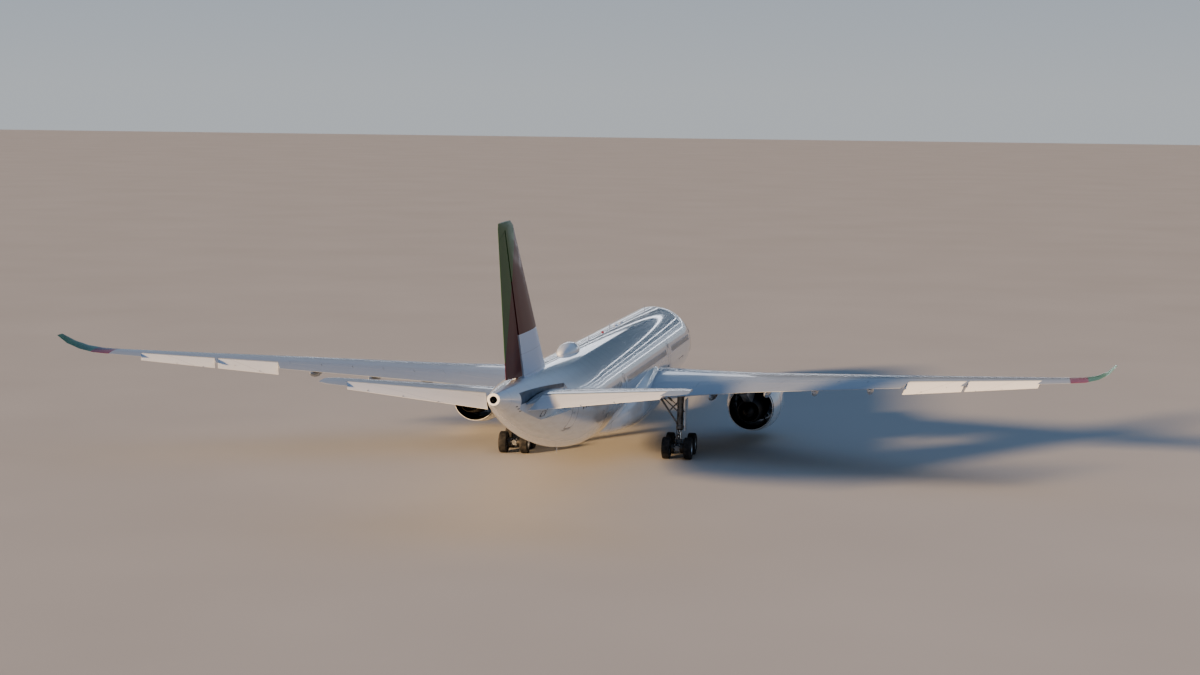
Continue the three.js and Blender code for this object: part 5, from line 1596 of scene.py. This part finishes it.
def skin_ring(name, finish, side, station, height, outline, inner, out):
    """A raised ring on the skin between an outline and the same outline shrunk by inner."""

    def ring(shrink, off):
        shares = [1 - shrink / (math.hypot(x, y) or 1.0) for x, y in outline]
        return [on_hull(side, station + x * k, height + y * k, off) for (x, y), k in zip(outline, shares)]

    rings = [ring(0, SUNK), ring(0, out), ring(inner, out), ring(inner, SUNK)]
    return coated(loft(name, rings, closed=True), finish)


def skin_pane(name, finish, side, station, height, outline, out):
    """A raised plate on the skin."""
    rings = [[on_hull(side, station + x, height + y, off) for x, y in outline] for off in (SUNK, out)]
    return coated(loft(name, rings), finish)


print("the skin on the port side at station 20 is", round(on_hull(1, 20, 0).x / SCALE, 2), "m out")

# %% Cabin windows
WINDOW_PITCH, WINDOW_HEIGHT = 0.533, 0.55
WINDOW_ROWS = ((8.2, 17.4), (20.2, 37.3), (39.9, 51.2))  # first and last station of each row
PANE_SIZE, SURROUND = (0.24, 0.34, 0.11), 0.035
SURROUND_SIZE = (0.24 + 2 * SURROUND, 0.34 + 2 * SURROUND, 0.11 + SURROUND)
window_stations = [
    first + i * WINDOW_PITCH
    for first, last in WINDOW_ROWS for i in range(int((last - first) / WINDOW_PITCH) + 1)]
pane_line, rim_line = rounded(*PANE_SIZE), rounded(*SURROUND_SIZE)
for side_name, side in SIDES.items():
    parts = [skin_pane("pane", cabin_acrylic, side, station, WINDOW_HEIGHT, pane_line, 0.009)
             for station in window_stations]
    parts += [skin_ring("rim", forged_aluminium, side, station, WINDOW_HEIGHT, rim_line, SURROUND, 0.012)
              for station in window_stations]
    fitted(joined(f"cabin_windows_{side_name}", parts), "airframe")
print(2 * len(window_stations), "cabin windows")

# %% [markdown]
# Passenger doors open outwards and forwards on an arm, which isn't one joint, so they stay
# shut here. What shows is the seal round each, a small window, the handle's recess and a
# sill plate that is scuffed bare.

# %% Passenger doors
PASSENGER_DOORS = (
    # station, width, height
    (6.3, 1.07, 1.93), (18.8, 1.07, 1.93), (38.6, 0.8, 1.6), (52.6, 1.07, 1.93),
)
DOOR_SILL_HEIGHT = -0.55  # from the fuselage axis
SEAL = 0.03
for side_name, side in SIDES.items():
    parts = []
    for station, wide, tall in PASSENGER_DOORS:
        middle, sill = DOOR_SILL_HEIGHT + tall / 2, DOOR_SILL_HEIGHT - 0.07
        at_pane = (side, station, middle + tall * 0.25)
        at_handle = (side, station + 0.12, middle - 0.05)
        parts += [
            skin_ring("seal", seal_rubber_and_slot_shade, side, station, middle, rounded(wide, tall, 0.2), SEAL, 0.003),
            skin_pane("pane", cabin_acrylic, *at_pane, rounded(0.2, 0.28, 0.09), 0.008),
            skin_ring("pane_rim", forged_aluminium, *at_pane, rounded(0.27, 0.35, 0.12), 0.035, 0.012),
            skin_pane("handle", pylon_topcoat, *at_handle, rounded(0.3, 0.09, 0.03), 0.004),
            skin_pane("sill", forged_aluminium, side, station, sill, rounded(wide * 0.9, 0.07, 0.02), 0.005),
        ]
    fitted(joined(f"passenger_doors_{side_name}", parts), "airframe")
print(len(PASSENGER_DOORS), "doors on each side")

# %% [markdown]
# A big smooth skin is broken up by small parts: hatches, probes, drains, lamps and antennas.
# Off the hull's own ellipses a ray finds the skin: an outline of points is thrown at it, and
# the points where they land make a thin plate or a ring that fits it.

# %% Laying parts on a skin
UPWARDS = (0, 0, 1)
BELOW = -1  # height that the outlines are thrown up from


def landed(target, start):
    """Where a ray up from a full-size place meets an object's skin, and the skin's normal there."""
    hit, spot, normal, _ = target.ray_cast(place(*start), Vector(UPWARDS))
    if not hit:
        raise ValueError(f"nothing to land on at {start}")
    return spot, normal


def laid(name, finish, target, out, station, outlines, raised=0.004, sunk=-0.01):
    """Throws an outline up at a skin: a plate. Two outlines make a ring."""
    middle = Vector((out, station, BELOW))
    thrown = [[landed(target, middle + Vector((u, v, 0))) for u, v in outline] for outline in outlines]
    offs = [(thrown[0], sunk), (thrown[0], raised)]
    if len(thrown) > 1:
        offs += [(thrown[1], raised), (thrown[1], sunk)]
    rings = [[spot + normal * off * SCALE for spot, normal in ring] for ring, off in offs]
    return coated(loft(name, rings, closed=len(thrown) > 1), finish)


def edge_ends(node_name, axis, pick):
    """A point on a surface's edge at each end of its span: the aftmost or the foremost one."""
    points = [vertex.co.copy() for vertex in frame["nodes"][node_name].data.vertices]
    low, high = min(p[axis] for p in points), max(p[axis] for p in points)
    ends = []
    for limit in (low, high):
        near = [p for p in points if abs(p[axis] - limit) < (high - low) * 0.04]
        ends.append(pick(near, key=lambda p: p.y))
    return ends


bpy.context.view_layer.update()
print("the belly is", round(landed(belly, (0, 30, BELOW))[0].z / SCALE, 2), "m above the ground")

# %% Hatches, vents and gear bay doors
HATCHES = (
    # side, station, height from the axis, width, height
    (-1, 44.3, -1.1, 0.95, 0.85), (-1, 46.1, -0.42, 0.34, 0.2), (-1, 8.6, -1.9, 0.45, 0.4),
    (1, 8.6, -1.9, 0.45, 0.4), (1, 14.2, -1.7, 0.5, 0.4), (1, 42.0, -1.7, 0.5, 0.4), (1, 50.3, -0.7, 0.4, 0.4),
    (-1, 57.6, 0.9, 0.5, 0.3), (1, 57.6, 0.9, 0.5, 0.3), (-1, 4.4, -1.7, 0.6, 0.5),
)
HATCH_SEAM = 0.012
VENTS_AFT = (60.7, 61.05, 61.4)  # stations of slots low on the tail cone
VENT_HEIGHT, VENT_RISE = 1.4, 0.45
BAY_DOORS = ((32.6, 0.9, 1.4, 3.2), (28.2, 1.35, 0.9, 0.6))  # station, how far out, width, length
BAY_SEAM, BAY_CORNER = 0.03, 0.12
AIR_INLETS = ((21.6, 1.2, 0.5, 0.9), (28.2, 1.35, 0.7, 0.4))
TANK_PANELS = (8.0, 11.6, 13.6, 15.6, 17.6, 19.6, 21.6, 23.6, 25.6)  # metres from the centre line
TANK_OVAL = (0.3, 0.46, 0.15)
PANEL_LINE = (25.4, 0.62, -2.4)  # the mid chord's station at the root, its sweep, and a shift forwards

for side_name, side in SIDES.items():
    parts = []
    for hand, station, height, wide, tall in HATCHES:
        if hand == side:
            line = rounded(wide, tall, 0.06)
            parts.append(skin_ring("hatch", seal_rubber_and_slot_shade, side, station, height, line, HATCH_SEAM, 0.002))
    # Painted shade: each vent slot is a dark plate where its opening would be.
    for station in VENTS_AFT:
        height = VENT_HEIGHT + VENT_RISE * (station - VENTS_AFT[0])
        parts.append(skin_pane("vent", seal_rubber_and_slot_shade, side, station, height, rounded(0.2, 0.045, 0.02), 0.003))
    fitted(joined(f"hatches_{side_name}", parts), "airframe")
under = []
for side in SIDES.values():
    for station, out, wide, long in BAY_DOORS:
        rim = [rounded(wide - cut, long - cut, BAY_CORNER - cut / 2) for cut in (0, BAY_SEAM)]
        under.append(laid("bay_door", seal_rubber_and_slot_shade, belly, side * out, station, rim, 0.003))
    # Painted shade: each air inlet is a near-black plate where its opening would be.
    for station, out, wide, long in AIR_INLETS:
        under.append(laid("air_inlet", soot_and_shade, belly, side * out, station, [rounded(wide, long, 0.08)]))
fitted(joined("belly_fairing_doors", under), "airframe")
root, sweep, shift = PANEL_LINE
for side_name, side in SIDES.items():
    wing = bpy.data.objects[f"wing_{side_name}_skin"]
    panels = []
    for out in TANK_PANELS:
        station = root + sweep * out + shift
        panels.append(laid("tank_panel", pylon_topcoat, wing, side * out, station, [rounded(*TANK_OVAL)]))
    fitted(joined(f"tank_panels_{side_name}", panels), "airframe")
print(len(HATCHES), "hatches,", len(under), "parts under the belly")

# %% [markdown]
# Air data probes stand round the nose. Antennas are blades or low domes of glass fibre along
# the crown and the belly. Dischargers, thin rods on the trailing edges, lead static away.

# %% Probes, wipers and antennas
PROBES = ((2.7, -0.55), (3.15, -0.95), (3.6, -0.55))  # station, height from the axis
WIPER = ((1.86, 0.46), (2.02, 0.6), (2.42, 0.66))
BLADES = (
    # station, up or down, height
    (11.8, 1, 0.36), (27.6, 1, 0.36), (35.6, 1, 0.28), (13.4, -1, 0.3), (46.2, -1, 0.3),
)
BLADE_TAPER = (
    # share of the height, chord, half the thickness
    (0.0, 0.42, 0.03), (0.5, 0.32, 0.022), (0.94, 0.2, 0.014), (1.0, 0.14, 0.006),
)
BLADE_EDGE = ((0, 0), (0.8, 0.15), (1, 0.4), (0.6, 0.75), (0, 1), (-0.6, 0.75), (-1, 0.4), (-0.8, 0.15))
DOMES = (
    # first and last station, half width, height
    (41.2, 45.6, 0.6, 0.5), (22.6, 23.6, 0.17, 0.09), (25.0, 26.0, 0.17, 0.09),
)
ROOTED = 0.03  # how far antennas reach into the hull

noses = []
for side in SIDES.values():
    for station, height in PROBES:
        foot, knee = on_hull(side, station, height, SUNK), on_hull(side, station, height, 0.1)
        path = [foot, knee, knee + Vector((0, -0.3, -0.01)) * SCALE]
        noses.append(coated(tube("probe", path, (0.03, 0.022, 0.012), 12), hard_chrome))
    wiper = [on_hull(side, station, height, 0.02) for station, height in WIPER]
    noses.append(coated(tube("wiper", wiper, 0.014, 8), seal_rubber_and_slot_shade))
fitted(joined("probes_and_wipers", noses), "airframe")


def blade_antenna(station, up, height):
    """A thin swept fin on the centre line, above or below the hull."""
    _, top, bottom = section_at(station)
    base = axis_z(station) + (top - ROOTED if up > 0 else bottom + ROOTED)
    rings = []
    for share, chord, thick in BLADE_TAPER:
        z, back = base + up * (height + ROOTED) * share, 0.2 * share
        rings.append([place(x * thick, station + back + y * chord, z) for x, y in BLADE_EDGE])
    return coated(loft("antenna", rings), white_topcoat)


def dome(first, last, half, height):
    """A low radome on the crown, rounder in front than behind."""
    rings = []
    for t in np.linspace(0.0, 1.0, 25):
        full = math.sqrt(max(math.sin(math.pi * t**0.7), 0.0)) + 0.01
        station = first + (last - first) * t
        crown = axis_z(station) + BARREL - ROOTED
        rings.append([
            place(half * full * math.cos(a), station, crown + (height + ROOTED) * full * math.sin(a))
            for a in angles(32)])
    return coated(loft("dome", rings), white_topcoat)


masts = [blade_antenna(*row) for row in BLADES] + [dome(*row) for row in DOMES]
fitted(joined("antennas", masts), "airframe")
print(len(PROBES) * 2, "probes and", len(masts), "antennas")

# %% Static dischargers
DISCHARGERS = (
    # node and body, span axis, shares of the span
    ("aileron_outer_{}", 0, (0.15, 0.5, 0.85)), ("aileron_inner_{}", 0, (0.3, 0.7)),
    ("elevator_{}", 0, (0.35, 0.6, 0.85)), ("rudder", 2, (0.55, 0.68, 0.81, 0.93)),
)
WICK = (Vector((0, 0.03, 0)), Vector((0, 0.11, -0.01)))  # into the edge, and aft of it
rods = 0
for pattern, axis, shares in DISCHARGERS:
    for name in each_side(pattern):
        low, high = edge_ends(name, axis, max)
        wicks = []
        for share in shares:
            spot = low.lerp(high, share)
            wicks.append(coated(tube("wick", (spot - WICK[0], spot + WICK[1]), 0.01, 8), seal_rubber_and_slot_shade))
        fitted(joined(f"{name}_dischargers", wicks), name)
        rods += len(wicks)
print(rods, "static dischargers")

# %% [markdown]
# Lamps are coloured glass over a lit lamp, which is off here: red to port, green to starboard,
# white behind, and a red beacon on the crown and one under the belly.

# %% Lamps, and the handles of the cargo doors


def lamp(name, spot, way, radius, height, lens):
    """A low round lens whose middle points along a way."""
    profile = [(radius * math.cos(a), height * math.sin(a)) for a in np.linspace(0, math.pi / 2, 8)]
    return coated(lathe(name, [(0.0, -0.03), (radius, -0.03)] + profile, spot, way, 24), lens)


crown, keel = place(0, 30.6, axis_z(30.6) + BARREL), landed(belly, (0, 27.0, BELOW))[0]
lamps = [
    lamp("beacon", crown, UPWARDS, 0.1, 0.09, red_lens),
    lamp("beacon", keel, (0, 0, -1), 0.1, 0.09, red_lens),
    lamp("tail_lamp", place(0, 63.3, axis_z(63.3) + 2.03), (0, 0.5, -0.87), 0.06, 0.04, clear_lens),
]
for side_name, side in SIDES.items():
    ends = edge_ends(f"winglet_{side_name}", 0, min)
    root, lens = (ends[0], red_lens) if side > 0 else (ends[1], green_lens)
    lamps.append(lamp("wing_tip_lamp", root + Vector((0, 0.03, 0)), (side * 0.3, -0.95, 0), 0.07, 0.09, lens))
    for station, height in ((18.0, -1.45), (17.6, -2.2)):
        spot = on_hull(side, station, height)
        lamps.append(lamp("side_lamp", spot, (side, 0, -0.4), 0.07, 0.02, clear_lens))
fitted(joined("lamps", lamps), "airframe")

for name, (first, last) in CARGO_DOORS.items():
    handle = rounded(0.34, 0.12, 0.04)
    catches = [skin_pane("handle", rub_plate, -1, (first + last) / 2, -1.85, handle, 0.004)]
    for share in (0.12, 0.31, 0.69, 0.88):
        station = first + (last - first) * share
        catches.append(skin_pane("catch", pylon_topcoat, -1, station, -2.02, rounded(0.16, 0.1, 0.03), 0.004))
    fitted(joined(f"cargo_door_{name}_catches", catches), f"cargo_door_{name}")
print(len(lamps), "lamps")

# %% [markdown]
# The last step prints the size of the dressed aircraft and of the frame, one under the other.

# %% Sizes, and the end of the scene
dressed_low, dressed_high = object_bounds()
for label, low, high in (("frame", cad_low, cad_high), ("dressed", dressed_low, dressed_high)):
    print(label, [round(value, 4) for value in low], [round(value, 4) for value in high])
